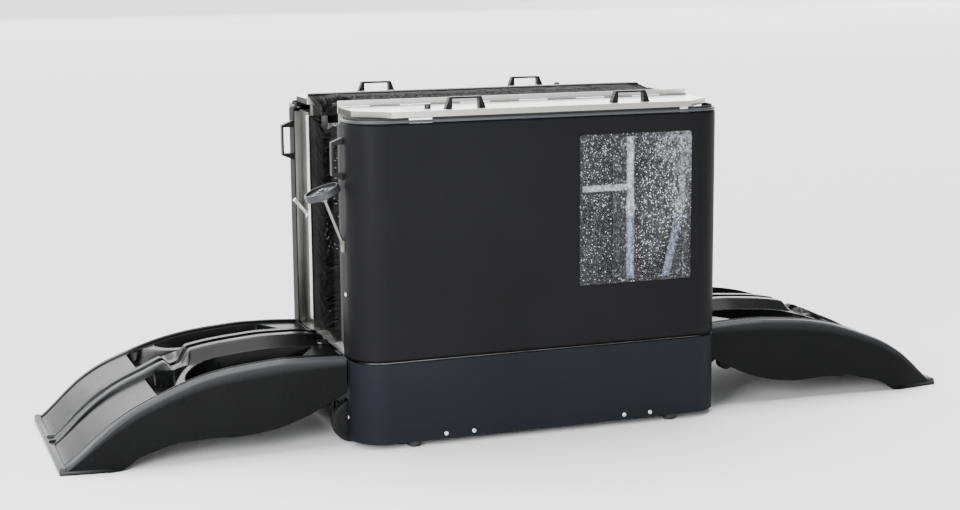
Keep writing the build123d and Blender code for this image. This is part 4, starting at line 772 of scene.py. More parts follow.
def lathe(profile: Profile, steps: int) -> bmesh.types.BMesh:
    """Spins a closed profile of radius and height about Z.

    Args:
        profile: radius and height pairs, the last one joined to the first.
        steps: number of steps round the axis.

    Returns:
        A closed bmesh with its faces outwards.
    """
    shape = bmesh.new()
    verts = [shape.verts.new((radius, 0.0, height)) for radius, height in profile]
    edges = [shape.edges.new(pair) for pair in zip(verts, verts[1:] + verts[:1])]
    bmesh.ops.spin(shape, geom=verts + edges, cent=(0, 0, 0), axis=(0, 0, 1), dvec=(0, 0, 0),
                   angle=math.tau, steps=steps, use_merge=True, use_normal_flip=False, use_duplicate=False)
    bmesh.ops.remove_doubles(shape, verts=shape.verts, dist=MERGE_DISTANCE)
    bmesh.ops.recalc_face_normals(shape, faces=shape.faces)
    return shape


def joined(shapes: Iterable[bmesh.types.BMesh]) -> bmesh.types.BMesh:
    """Puts several bmeshes into one.

    Args:
        shapes: the bmeshes, which are freed.

    Returns:
        The one bmesh.
    """
    whole = bmesh.new()
    for shape in shapes:
        mesh = bpy.data.meshes.new("scrap")
        shape.to_mesh(mesh)
        shape.free()
        whole.from_mesh(mesh)
        bpy.data.meshes.remove(mesh)
    return whole


def prism(outline: Profile, height: float, rounding: float, segments: int = 3) -> bmesh.types.BMesh:
    """Stands a flat outline up along Z and rounds all its edges.

    Args:
        outline: points of the outline in X and Y, in order.
        height: length along Z.
        rounding: radius of the edges.
        segments: faces across each rounded edge.

    Returns:
        A closed bmesh from z 0 up to the height.
    """
    shape = bmesh.new()
    floor = shape.faces.new([shape.verts.new((x, y, 0.0)) for x, y in outline])
    walls = bmesh.ops.extrude_face_region(shape, geom=[floor])
    top = [item for item in walls["geom"] if isinstance(item, bmesh.types.BMVert)]
    bmesh.ops.translate(shape, verts=top, vec=(0.0, 0.0, height))
    bmesh.ops.recalc_face_normals(shape, faces=shape.faces)
    bmesh.ops.bevel(shape, geom=shape.edges[:], offset=rounding, segments=segments, profile=0.5,
                    affect="EDGES", material=-1, clamp_overlap=True)
    return shape


def soft_step(share: float) -> float:
    """0 to 1 with level ends."""
    t = min(max(share, 0.0), 1.0)
    return t * t * (3.0 - 2.0 * t)


def bulge(offset: float, width: float) -> float:
    """1 in the middle, falling to 0 on both sides over about twice a width."""
    return math.exp(-(offset / width) ** 2)


@dataclass(frozen=True)
class StraightLine:
    """A height or width along a ramp, in straight runs between a few points."""

    points: Profile

    @property
    def first(self) -> float:
        """Value at the start."""
        return self.points[0][1]

    @property
    def length(self) -> float:
        """Distance of the last point."""
        return self.points[-1][0]

    def at(self, d: float) -> float:
        """Value at a distance, and past the end the last point's.

        Args:
            d: distance along the ramp.

        Returns:
            The height or width there.
        """
        for (d0, h0), (d1, h1) in zip(self.points, self.points[1:]):
            if d <= d1:
                return h0 + (h1 - h0) * (d - d0) / (d1 - d0)
        return self.points[-1][1]


@dataclass(frozen=True)
class SmoothLine(StraightLine):
    """A height or width along a ramp, on a smooth line that stays between neighbouring points."""

    @cached_property
    def slopes(self) -> list[float]:
        """Slopes of the line at its points.

        Returns:
            One slope for each point, level where the line turns back.
        """
        runs = [(h1 - h0) / (d1 - d0) for (d0, h0), (d1, h1) in zip(self.points, self.points[1:])]
        between = [0.0 if before * after <= 0.0 else 2.0 * before * after / (before + after)
                   for before, after in zip(runs, runs[1:])]
        return [runs[0], *between, runs[-1]]

    def at(self, d: float) -> float:
        """Value at a distance, and past the end the last point's.

        Args:
            d: distance along the ramp.

        Returns:
            The height or width there.
        """
        for i, ((d0, h0), (d1, h1)) in enumerate(zip(self.points, self.points[1:])):
            if d <= d1:
                t = (d - d0) / (d1 - d0)
                bend = self.slopes[i] * t * (1.0 - t) ** 2 - self.slopes[i + 1] * t * t * (1.0 - t)
                return h0 + (h1 - h0) * t * t * (3.0 - 2.0 * t) + (d1 - d0) * bend
        return self.points[-1][1]


@dataclass
class RampToe:
    """Lip, bar and bosses at the outer end of a ramp, in millimetres."""

    lip_start: float = 790.0
    lip_depth: float = 30.0
    lip_out: float = 6.0
    lip_height: float = 14.0
    lip_round: float = 5.0
    bar_depth: float = 24.0
    bar_out: float = 5.0
    bar_height: float = 25.0
    bar_round: float = 8.0
    boss_y: float = 32.0
    boss_half: float = 13.0
    boss_inset: Span = (44.0, 5.0)
    boss_height: float = 34.0
    boss_round: float = 9.0
    round_steps: int = 4

    def lip(self, ramp: Ramp) -> bmesh.types.BMesh:
        """Low lip round the toe.

        Args:
            ramp: the ramp that it belongs to.

        Returns:
            The lip as drawn.
        """
        near, toe = ramp.place(self.lip_start), ramp.place(ramp.drawn)
        wide, narrow = ramp.side_line.at(self.lip_start), ramp.side_line.at(ramp.drawn)
        inside = ramp.side_line.at(ramp.drawn - self.lip_depth) - ramp.wall
        half = [(near, wide + self.lip_out), (toe, narrow + self.lip_out)]
        back = [(toe - self.lip_depth, inside), (near, wide - ramp.wall)]
        points = half + [(x, -y) for x, y in half[::-1]] + [(x, -y) for x, y in back[::-1]] + back
        return prism(points, self.lip_height, self.lip_round, self.round_steps)

    def bar(self, ramp: Ramp) -> bmesh.types.BMesh:
        """Raised bar across the toe.

        Args:
            ramp: the ramp that it belongs to.

        Returns:
            The bar as drawn.
        """
        half, toe = ramp.side_line.at(ramp.drawn) + self.bar_out, ramp.place(ramp.drawn)
        outline = rectangle(toe - self.bar_depth, toe, -half, half)
        return prism(outline, self.bar_height, self.bar_round, self.round_steps)

    def bosses(self, ramp: Ramp) -> list[bmesh.types.BMesh]:
        """Two bosses on the bar, at the ends of the track's ridges.

        Args:
            ramp: the ramp that they belong to.

        Returns:
            The bosses as drawn.
        """
        near, far = (ramp.place(ramp.drawn) - inset for inset in self.boss_inset)
        made = []
        for y in (-self.boss_y, self.boss_y):
            outline = rectangle(near, far, y - self.boss_half, y + self.boss_half)
            made.append(prism(outline, self.boss_height, self.boss_round, self.round_steps))
        return made


@dataclass
class RampLugs:
    """Hinge lugs and rest lugs under the inner end of a ramp, in millimetres."""

    pivot_inset: float = 22.0
    pivot_z: float = 300.0
    hinge_y: float = 88.0
    hinge_half: float = 7.0
    pin_radius: float = 5.05
    eye_radius: float = 12.0
    eye_steps: int = 32
    arm_gap: float = 9.0
    arm_overlap: float = 2.0
    arm_height: float = 16.0
    arm_round: float = 1.0
    rest_y: float = 323.0
    rest_z: float = 162.0
    rest_top: float = 217.0
    rest_radius: float = 32.0
    rest_width: float = 30.0
    rest_round: float = 2.0
    rest_steps: int = 16

    def hinges(self, ramp: Ramp) -> list[bmesh.types.BMesh]:
        """Two eyes round the hinge pins, each with the arm that ties it to the rib.

        Args:
            ramp: the ramp that they belong to.

        Returns:
            The eyes and arms as drawn.
        """
        pivot_x = ramp.start + self.pivot_inset
        ring = rectangle(self.pin_radius, self.eye_radius, -self.hinge_half, self.hinge_half)
        made = []
        for y in (-self.hinge_y, self.hinge_y):
            eye = lathe(ring, self.eye_steps)
            stand = Matrix.Translation((pivot_x, y, self.pivot_z)) @ Matrix.Rotation(math.pi / 2, 4, "X")
            bmesh.ops.transform(eye, matrix=stand, verts=eye.verts)
            outline = rectangle(pivot_x + self.arm_gap, ramp.rib_x + self.arm_overlap, y - self.hinge_half,
                                y + self.hinge_half)
            arm = prism(outline, self.arm_height, self.arm_round)
            bmesh.ops.translate(arm, verts=arm.verts, vec=(0.0, 0.0, self.pivot_z - self.eye_radius))
            made += [eye, arm]
        return made

    def rests(self, ramp: Ramp) -> list[bmesh.types.BMesh]:
        """Two lugs with a round foot that the ramp rests on.

        Args:
            ramp: the ramp that they belong to.

        Returns:
            The lugs as drawn.
        """
        x, z, radius = ramp.rib_x, self.rest_z, self.rest_radius
        angles = [math.pi * (1.0 + i / self.rest_steps) for i in range(self.rest_steps + 1)]
        outline = [(x + radius * math.cos(angle), z + radius * math.sin(angle)) for angle in angles]
        outline += [(x + radius, self.rest_top), (x - radius, self.rest_top)]
        made = []
        for y in (-self.rest_y, self.rest_y):
            lug = prism(outline, self.rest_width, self.rest_round)
            axes = Matrix(((1, 0, 0, 0), (0, 0, -1, y + self.rest_width / 2), (0, 1, 0, 0), (0, 0, 0, 1)))
            bmesh.ops.transform(lug, matrix=axes, verts=lug.verts)
            made.append(lug)
        return made


@dataclass
class Ramp:
    """Moulded ramp, drawn in millimetres from its inner end and stretched to its length.

    Ribbed track in the middle, on each side an upper deck with a deep trough, a pocket below it, a hollow
    lower lane and a beaded rim; side walls, cross webs, toe and lugs.
    """

    end: End
    start: float = 690.0
    length: float = 966.0
    wall: float = 6.0
    row_pitch: float = 5.0
    rim_line: SmoothLine = SmoothLine((
        (0, 304), (110, 310), (200, 311), (300, 305), (390, 296), (480, 280), (560, 257), (640, 228),
        (720, 194), (790, 152), (850, 104), (900, 59), (940, 27), (966, 16)))
    edge_line: SmoothLine = SmoothLine((
        (0, 187), (90, 141), (170, 107), (275, 80), (375, 72), (480, 76), (570, 75), (645, 59),
        (710, 38), (782, 0), (966, 0)))
    side_line: SmoothLine = SmoothLine(((0, 370), (400, 374), (640, 388), (790, 394), (966, 370)))
    lane_line: StraightLine = StraightLine(((0, 6), (560, 6), (640, 3), (966, 3)))
    ridge_line: StraightLine = StraightLine((
        (0, 24), (60, 33), (480, 33), (640, 15), (850, 13), (930, 6), (966, 3)))
    foot_line: StraightLine = StraightLine(((0, 114), (540, 114), (600, 74), (966, 70)))
    band_line: StraightLine = StraightLine(((0, 62), (480, 62), (750, 54), (966, 50)))
    groove_line: StraightLine = StraightLine(((0, 12), (540, 12), (640, 8), (850, 7), (930, 3), (966, 2)))
    groove_half: float = 17.0
    groove_side: float = 5.0
    ridge_half: float = 54.0
    ridge_round: float = 5.0
    ridge_blunt: float = 3.0
    shoulder: float = 118.0
    trough_depth: float = 88.0
    trough_wall: float = 34.0
    trough_head: float = 24.0
    trough_slant: float = 0.52
    head_wall: float = 70.0
    trough_bend: float = 390.0
    trough_bow: float = 145.0
    nose_start: float = 468.0
    nose_sweep: float = 106.0
    nose_curve: float = 0.6
    nose_wall: float = 40.0
    pocket_depth: float = 52.0
    pocket_end: float = 620.0
    pocket_wall: float = 16.0
    dip_end: float = 566.0
    dip_depth: float = 38.0
    rim_rise: float = 8.0
    rim_round: float = 26.0
    rim_fall: float = 12.0
    round_rows: int = 9
    bead_height: float = 4.0
    bead_width: float = 5.0
    bead_inset: float = 4.0
    outer_bead: float = 0.7
    lane_sink: float = 1.0
    lane_dip: float = 3.0
    lane_walls: Span = (0.03, 0.05)
    slot_inner: float = 70.0
    slot_outer: float = 106.0
    slot_depth: float = 35.0
    slot_rows: int = 7
    side_rows: int = 7
    rib: float = 82.0
    rib_bottom: float = 197.0
    # Spread of the painted highlight on the rim and on the lower track's edges
    highlight_fade: float = 11.0
    highlight_width: float = 5.0
    ridge_highlight: float = 0.8

    @property
    def drawn(self) -> float:
        """Length that the lines are drawn for."""
        return self.rim_line.length

    @property
    def rib_x(self) -> float:
        """Distance of the cross rib from the middle of the machine."""
        return self.start + self.rib

    def place(self, d: float) -> float:
        """Distance from the middle of the machine at a drawn distance."""
        return self.start + d * self.length / self.drawn

    def rim_inside(self, d: float) -> float:
        """Inner edge of the rim."""
        return self.side_line.at(d) - self.band_line.at(d)

    def top(self, d: float, y: float) -> float:
        """Height of the upper surface.

        Args:
            d: drawn distance from the inner end.
            y: distance from the middle line, not negative.

        Returns:
            The height, before the rounded outer edge of the rim.
        """
        drop = self.lane_line.at(d)
        full = min(1.0, drop / self.lane_line.first)
        outer = self.rim_inside(d)
        foot = self.foot_line.at(d)
        slope = foot - self.ridge_half
        across = min(max((y - foot) / (outer - foot), 0.0), 1.0)
        ridge = min(max((foot - y) / slope, 0.0), 1.0)
        ridge -= self.ridge_round / slope * bulge(y - self.ridge_half, self.ridge_round) / self.ridge_blunt
        groove = soft_step((self.groove_half + self.groove_side - y) / self.groove_side)
        rim = soft_step((y - outer) / self.rim_rise)
        crest = self.side_line.at(d) - self.rim_round - self.bead_inset
        bead = bulge(y - outer - self.rim_rise, self.bead_width)
        bead += self.outer_bead * bulge(y - crest, self.bead_width)
        height = self.rim_line.at(d) - drop * (1.0 - rim) + self.bead_height * full * bead
        dip = soft_step((d - self.nose_start) / self.nose_wall)
        dip *= soft_step((self.dip_end - d) / self.nose_wall)
        height += self.ridge_line.at(d) * ridge - self.groove_line.at(d) * groove
        height -= self.dip_depth * dip * ridge
        height -= self.trough_depth * self.trough_share(d, y, outer)
        return height - self.lane_depth(d, across) * full

    def trough_share(self, d: float, y: float, outer: float) -> float:
        """Share of the trough's depth, with a sharp upper edge.

        The trough starts on a slanted line, follows the shoulder and closes in a bow towards the rim.

        Args:
            d: drawn distance from the inner end.
            y: distance from the middle line, not negative.
            outer: inner edge of the rim.

        Returns:
            1 on the trough's floor and 0 outside it.
        """
        head = self.trough_head + self.trough_slant * (y - self.slot_inner)
        inside = min(outer - y, (d - head) * self.trough_wall / self.head_wall)
        if d > self.trough_bend:
            bow = math.hypot((d - self.trough_bend) / self.trough_bow, (outer - y) / (outer - self.shoulder))
            inside = min(inside, (1.0 - bow) * self.trough_bow)
        else:
            inside = min(inside, y - self.shoulder)
        t = min(max(inside / self.trough_wall, 0.0), 1.0)
        return t * (2.0 - t)

    def lane_depth(self, d: float, across: float) -> float:
        """Depth of the pocket and the lower lane below the deck.

        Args:
            d: drawn distance from the inner end.
            across: share of the way from the track's foot to the rim.

        Returns:
            The depth.
        """
        inner_wall, outer_wall = self.lane_walls
        sides = soft_step(across / inner_wall) * soft_step((1.0 - across) / outer_wall)
        nose = self.nose_start + self.nose_sweep * across ** self.nose_curve
        past_nose = soft_step((d - nose) / self.nose_wall)
        before_end = soft_step((self.pocket_end + self.pocket_wall - d) / self.pocket_wall)
        lane = self.lane_sink + self.lane_dip * math.sin(math.pi * across)
        return max(lane * past_nose, self.pocket_depth * past_nose * before_end) * sides

    def distances(self) -> list[float]:
        """Rows of the surface.

        Returns:
            Drawn distances from the inner end, one of them on the end of the hinge slots.
        """
        rest = self.drawn - self.slot_depth
        rows = round(rest / self.row_pitch)
        inner = [self.slot_depth * i / self.slot_rows for i in range(self.slot_rows)]
        return inner + [self.slot_depth + rest * i / rows for i in range(rows + 1)]

    def marks(self, side: float, outer: float) -> list[tuple[float, int]]:
        """Places where the outline may bend.

        Args:
            side: distance of the side from the middle line.
            outer: distance of the rim's inner edge from the middle line.

        Returns:
            Distances from the middle line, each with the number of columns up to it.
        """
        return [(0.0, 0), (self.groove_half, 2), (self.groove_half + self.groove_side, 4),
                (self.ridge_half - self.ridge_round, 2), (self.ridge_half + self.ridge_round, 6),
                (self.slot_inner, 4), (self.slot_outer, 8), (self.shoulder, 3),
                (self.shoulder + self.trough_wall, 9), (outer - self.trough_wall, 32), (outer, 9),
                (outer + self.rim_rise, 6), (side - self.rim_round, 16)]

    def outline(self, d: float) -> list[tuple[float, float]]:
        """Half of the upper outline at a distance.

        Args:
            d: drawn distance from the inner end.

        Returns:
            Points across and up, from the middle to the lower edge of the side.
        """
        side, edge, rim = self.side_line.at(d), self.edge_line.at(d), self.rim_line.at(d)
        marks = self.marks(side, self.rim_inside(d))
        points = [(0.0, self.top(d, 0.0))]
        for (y0, _), (y1, count) in zip(marks, marks[1:]):
            for i in range(1, count + 1):
                y = y0 + (y1 - y0) * i / count
                points.append((y, self.top(d, y)))
        fall = min(self.rim_fall, (rim - edge) / 2)
        for i in range(1, self.round_rows + 1):
            angle = math.pi / 2 * i / self.round_rows
            inset = self.rim_round * (1 - math.sin(angle))
            points.append((side - inset, rim - fall * (1 - math.cos(angle))))
        for i in range(1, self.side_rows + 1):
            points.append((side, rim - fall + (edge - rim + fall) * i / self.side_rows))
        return points

    def skin(self) -> bmesh.types.BMesh:
        """The moulded shell: a grid laid over the outlines, with the hinge slots cut, made one wall thick.

        Returns:
            The shell as drawn.
        """
        rows = self.distances()
        outlines = [self.outline(d) for d in rows]
        columns = len(outlines[0]) - 1
        shape = bmesh.new()
        bmesh.ops.create_grid(shape, x_segments=len(rows) - 1, y_segments=2 * columns, size=1.0)
        for vert in shape.verts:
            row = round((vert.co.x + 1.0) / 2.0 * (len(rows) - 1))
            column = round((vert.co.y + 1.0) * columns) - columns
            y, z = outlines[row][abs(column)]
            vert.co = (self.place(rows[row]), math.copysign(y, column), z)
        cut = []
        for face in shape.faces:
            middle = face.calc_center_median()
            in_slot = self.slot_inner < abs(middle.y) < self.slot_outer
            if in_slot and middle.x < self.place(self.slot_depth):
                cut.append(face)
        bmesh.ops.delete(shape, geom=cut, context="FACES")
        bmesh.ops.recalc_face_normals(shape, faces=shape.faces)
        if sum(face.normal.z for face in shape.faces) < 0.0:
            bmesh.ops.reverse_faces(shape, faces=shape.faces)
        bmesh.ops.solidify(shape, geom=shape.faces[:], thickness=self.wall)
        return shape

    def web(self, d: float, bottom: float) -> bmesh.types.BMesh:
        """Cross wall under the shell.

        Args:
            d: drawn distance from the inner end.
            bottom: height of the wall's lower edge.

        Returns:
            The wall as drawn.
        """
        upper = [(y, z - self.wall / 2) for y, z in self.outline(d) if z > bottom + self.wall]
        ends = [(-y, z) for y, z in upper[:0:-1]] + upper
        last = ends[-1][0]
        corners = [(-last, bottom), *ends, (last, bottom)]
        shape = bmesh.new()
        face = shape.faces.new([shape.verts.new((y, z, 0.0)) for y, z in corners])
        bmesh.ops.solidify(shape, geom=[face], thickness=self.wall)
        axes = Matrix(((0, 0, 1, self.place(d) + self.wall / 2), (1, 0, 0, 0), (0, 1, 0, 0), (0, 0, 0, 1)))
        bmesh.ops.transform(shape, matrix=axes, verts=shape.verts)
        bmesh.ops.recalc_face_normals(shape, faces=shape.faces)
        return shape

    def painted_highlight(self, point: Vector) -> float:
        """How much painted highlight a point gets: full on the rounded rim, less on the edges of the lower
        track.

        Args:
            point: a point of the ramp as drawn.

        Returns:
            The share of painted highlight, from 0 to 1.
        """
        d = (point.x - self.start) * self.drawn / self.length
        y = abs(point.y)
        inward = self.side_line.at(d) - y - self.rim_round
        below = self.rim_line.at(d) - self.rim_fall / 2 - point.z
        rim = soft_step(1.0 - max(inward, below) / self.highlight_fade)
        edges = (self.groove_half + self.groove_side, self.ridge_half)
        track = max(bulge(y - edge, self.highlight_width) for edge in edges)
        return max(rim, self.ridge_highlight * track * soft_step((d - self.dip_end) / self.nose_wall))

    def build(self, dressing: Dressing) -> bpy.types.Object:
        """Makes the whole ramp as one piece.

        Args:
            dressing: the machine's finishes.

        Returns:
            The ramp piece.
        """
        toe, lugs = RampToe(), RampLugs()
        rib_d = self.rib * self.drawn / self.length
        webs = [self.web(0.0, self.edge_line.first), self.web(rib_d, self.rib_bottom)]
        shape = joined([self.skin(), toe.lip(self), toe.bar(self), *webs, *toe.bosses(self),
                        *lugs.hinges(self), *lugs.rests(self)])
        # Painted highlight, kept on the points for the plastic to read
        layer = shape.verts.layers.float.new(HIGHLIGHT)
        for vert in shape.verts:
            vert[layer] = self.painted_highlight(vert.co)
        bmesh.ops.scale(shape, verts=shape.verts, vec=(MILLIMETRE, MILLIMETRE, MILLIMETRE))
        bmesh.ops.transform(shape, matrix=self.end.turn, verts=shape.verts)
        body = f"{self.end.value}_ramp"
        piece = Piece(body + "_moulding", body, "ramp_plastic", (body,), "ramp_plastic")
        return piece.finish_mesh(shape, dressing)


@dataclass
class StripBrush:
    """A strip brush: tufts of filaments from a backing strip towards the middle of the passage."""

    node: str
    start: Vector
    end: Vector
    reach: Vector
    droop: Vector
    seed: int
    finish: str = "black_bristle"
    tuft_strands: int = 13
    tuft_pitch: float = 0.007
    tuft_radius: float = 0.0026
    tuft_sides: int = 6
    tuft_depth: float = 0.003
    tuft_height: float = 0.008
    root_spread: float = 0.002
    root_radius: float = 0.0017
    tip_radius: float = 0.0009
    spread: float = 0.005
    stray_spread: float = 0.022
    stray_share: float = 0.16
    lengths: Span = (0.90, 1.045)
    sags: Span = (0.75, 1.25)
    middle_reach: float = 0.5
    middle_fan: float = 0.45
    middle_sag: float = 0.3
    end_drop: float = 0.0
    end_run: float = 0.09
    backing_depth: float = 0.004
    backing_width: float = 0.010

    @property
    def run(self) -> Vector:
        """The line of the roots, from start to end."""
        return self.end - self.start

    @property
    def axes(self) -> tuple[Vector, Vector, Vector]:
        """Directions along the strip, inwards, and across both."""
        along, inward = self.run.normalized(), self.reach.normalized()
        return along, inward, along.cross(inward)

    def tuft(self, draw: random.Random, number: int, tufts: int) -> bmesh.types.BMesh:
        """One tuft with its filaments, whose tips stay between the ends of the strip.

        Args:
            draw: the brush's random numbers.
            number: which tuft it is, from the start.
            tufts: number of tufts on the strip.

        Returns:
            The tuft in its place.
        """
        run, (along, inward, across) = self.run, self.axes
        shape = bmesh.new()
        foot = self.start + run * ((number + 0.5) / tufts)
        stem = [foot - inward * self.tuft_depth, foot + inward * self.tuft_height]
        add_strand(shape, stem, self.tuft_radius, self.tuft_radius, self.tuft_sides)
        near_end = min(number + 0.5, tufts - number - 0.5) * run.length / tufts
        drop = Vector((0.0, 0.0, self.end_drop * max(0.0, 1.0 - near_end / self.end_run)))
        for _ in range(self.tuft_strands):
            root = foot + along * draw.uniform(-self.root_spread, self.root_spread)
            root += across * draw.uniform(-self.root_spread, self.root_spread)
            spread = self.stray_spread if draw.random() < self.stray_share else self.spread
            fan = along * draw.gauss(0.0, spread) + across * draw.gauss(0.0, self.spread)
            reach = self.reach * draw.uniform(*self.lengths)
            sag = (self.droop - drop) * draw.uniform(*self.sags)
            middle = root + reach * self.middle_reach + fan * self.middle_fan + sag * self.middle_sag
            tip = root + reach + fan + sag
            share = min(max((tip - self.start).dot(along) / run.length, 0.0), 1.0)
            tip += along * (self.start + run * share - tip).dot(along)
            add_strand(shape, [root, middle, tip], self.root_radius, self.tip_radius)
        return shape

    def build(self, dressing: Dressing) -> bpy.types.Object:
        """Makes the tufts and the backing.

        Args:
            dressing: the machine's finishes.

        Returns:
            The brush piece.
        """
        draw = random.Random(self.seed)
        run, (along, inward, across) = self.run, self.axes
        tufts = int(run.length / self.tuft_pitch)
        shape = joined([self.tuft(draw, number, tufts) for number in range(tufts)])
        backing = bmesh.ops.create_cube(shape, size=1.0)["verts"]
        middle = (self.start + self.end) / 2 - inward * (self.backing_depth / 2)
        frame = Matrix((along, inward, across)).transposed().to_4x4()
        size = Matrix.Diagonal((run.length, self.backing_depth, self.backing_width, 1.0))
        bmesh.ops.transform(shape, matrix=Matrix.Translation(middle) @ frame @ size, verts=backing)
        piece = Piece(self.node + "_bristles", "base", "black_bristle", (self.node,), self.finish)
        return piece.finish_mesh(shape, dressing)


@dataclass
class BrushSet:
    """All six strip brushes, placed on the boxes of their CAD nodes."""

    droop: float = 0.055
    upright_lengths: Span = (0.96, 1.14)
    upright_seed: int = 11
    lean_along: float = -0.026
    lean_down: float = 0.004
    end_drop: float = 0.05
    top_seed: int = 31

    @staticmethod
    def across(low: Vector, high: Vector, half: Half) -> tuple[float, Vector]:
        """Place of the roots in Y, and the reach from them to the tips.

        Args:
            low: lower corner of the brush's box.
            high: upper corner of the brush's box.
            half: the half that carries the brush.

        Returns:
            The roots' Y and the reach.
        """
        back, tip = (low.y, high.y) if half is Half.FRONT else (high.y, low.y)
        root = back - half.outward * StripBrush.backing_depth
        return root, Vector((0.0, tip - root, 0.0))

    def build(self, dressing: Dressing) -> None:
        """Makes the upright brushes at both ends and the top strips of both halves.

        Args:
            dressing: the machine's finishes.
        """
        for number, (end, half) in enumerate(product(End, Half)):
            node = f"{end.value}_{half.value}_brush"
            low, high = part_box(node)
            x = (low.x + high.x) / 2
            y, reach = self.across(low, high, half)
            sag = Vector((0.0, 0.0, -self.droop))
            StripBrush(node, Vector((x, y, low.z)), Vector((x, y, high.z)), reach, sag,
                       self.upright_seed + number, lengths=self.upright_lengths).build(dressing)
        for half in Half:
            node = f"{half.value}_top_brush"
            low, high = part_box(node)
            z = (low.z + high.z) / 2
            y, reach = self.across(low, high, half)
            lean = Vector((half.outward * self.lean_along, 0.0, -self.lean_down))
            # The top strips get the lighter bristle of painted light from above
            StripBrush(node, Vector((low.x, y, z)), Vector((high.x, y, z)), reach, lean, self.top_seed,
                       "lit_top_bristle", end_drop=self.end_drop).build(dressing)


@dataclass
class PostAngles:
    """Stainless angles that close the gap between the casings' end walls and the passage posts."""

    sheet: float = 0.003
    clear: float = 0.0004
    leg: float = 0.030
    foot_gap: float = 0.002
    top_gap: float = 0.012
    rounding: float = 0.0006
    round_steps: int = 2

    def build(self, dressing: Dressing) -> bpy.types.Object:
        """Makes the four angles as one piece.

        Args:
            dressing: the machine's finishes.

        Returns:
            The piece with all four angles.
        """
        case_low, case_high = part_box("front_casing")
        post_low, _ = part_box("front_inner_frame")
        wall_y, post_x = case_high.y, -post_low.x - self.clear
        reach = case_high.x - self.sheet - self.clear - post_x
        height = case_high.z - case_low.z - self.foot_gap - self.top_gap
        outline = ((0.0, 0.0), (reach, 0.0), (reach, self.sheet), (self.sheet, self.sheet),
                   (self.sheet, self.leg), (0.0, self.leg))
        angles = []
        for end, side in product((-1.0, 1.0), repeat=2):
            angle = prism(outline, height, self.rounding, self.round_steps)
            mirror = Matrix.Diagonal((end, side, 1.0, 1.0))
            foot = (end * post_x, side * (abs(wall_y) + self.clear), case_low.z + self.foot_gap)
            bmesh.ops.transform(angle, matrix=Matrix.Translation(foot) @ mirror, verts=angle.verts)
            bmesh.ops.recalc_face_normals(angle, faces=angle.faces)
            angles.append(angle)
        # The angles take the darker stainless of painted shade
        piece = Piece("post_angles", "base", "stainless", (), "shaded_stainless")
        return piece.finish_mesh(joined(angles), dressing)


@dataclass
class CasingRim:
    """Rolled rim in a lighter paint as a painted highlight, and a black rubber strip that fills the gap
    under the lid as a painted shadow, along the upper edge of one casing.
    """

    half: Half
    corner: float = 0.112
    bead_radius: float = 0.0055
    bead_sides: int = 12
    gap_shade_outer: float = 0.0120
    gap_shade_inner: float = 0.0145
    gap_shade_height: float = 0.0183
    arc_steps: int = 16

    def path(self, inset: float) -> list[tuple[Vector, Vector]]:
        """Line along the front casing's upper edge, on its outer face.

        Args:
            inset: how far the line is moved inwards.

        Returns:
            Points of the line, each with its outward direction.
        """
        low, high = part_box("front_casing")
        line = [(Vector((low.x + inset, high.y, high.z)), Vector((-1.0, 0.0, 0.0)))]
        for end in (-1.0, 1.0):
            centre = Vector((end * (high.x - self.corner), low.y + self.corner, high.z))
            for i in range(self.arc_steps + 1):
                angle = math.pi / 2 * (i / self.arc_steps if end < 0 else 1.0 - i / self.arc_steps)
                out = Vector((end * math.cos(angle), -math.sin(angle), 0.0))
                line.append((centre + out * (self.corner - inset), out))
        line.append((Vector((high.x - inset, high.y, high.z)), Vector((1.0, 0.0, 0.0))))
        return line

    def sweep(self, profile: Profile, inset: float) -> bmesh.types.BMesh:
        """Carries a closed profile along the casing's edge.

        Args:
            profile: outward and upward offsets from the line.
            inset: how far the line is moved inwards.

        Returns:
            The closed strip on this half.
        """
        path, count = self.path(inset), len(profile)
        shape = bmesh.new()
        bmesh.ops.create_grid(shape, x_segments=len(path) - 1, y_segments=count, size=1.0)
        for vert in shape.verts:
            point, out = path[round((vert.co.x + 1.0) / 2.0 * (len(path) - 1))]
            away, rise = profile[round((vert.co.y + 1.0) / 2.0 * count) % count]
            vert.co = point + out * away + Vector((0.0, 0.0, rise))
        bmesh.ops.remove_doubles(shape, verts=shape.verts, dist=MERGE_DISTANCE)
        bmesh.ops.holes_fill(shape, edges=[edge for edge in shape.edges if edge.is_boundary])
        bmesh.ops.recalc_face_normals(shape, faces=shape.faces)
        bmesh.ops.transform(shape, matrix=self.half.turn, verts=shape.verts)
        return shape

    def build(self, dressing: Dressing) -> None:
        """Makes the rim and the black strip of painted shadow under the lid.

        Args:
            dressing: the machine's finishes.
        """
        radius = self.bead_radius
        angles = [math.tau * i / self.bead_sides for i in range(self.bead_sides)]
        bead = [(radius * math.cos(angle), radius + radius * math.sin(angle)) for angle in angles]
        lip = rectangle(-self.gap_shade_inner, -self.gap_shade_outer, 0.0, self.gap_shade_height)
        name = self.half.value
        # The rim's lighter paint is a painted highlight
        rim = Piece(name + "_casing_rim", "base", "black_shell", (), "rim_highlight_paint")
        rim.finish_mesh(self.sweep(bead, radius), dressing)
        # Black strip in the gap under the lid: a painted shadow of the gap
        gap_shade = Piece(name + "_lid_gap_shade", "base", "foot_rubber", (), "foot_rubber")
        gap_shade.finish_mesh(self.sweep(lip, 0.0), dressing)


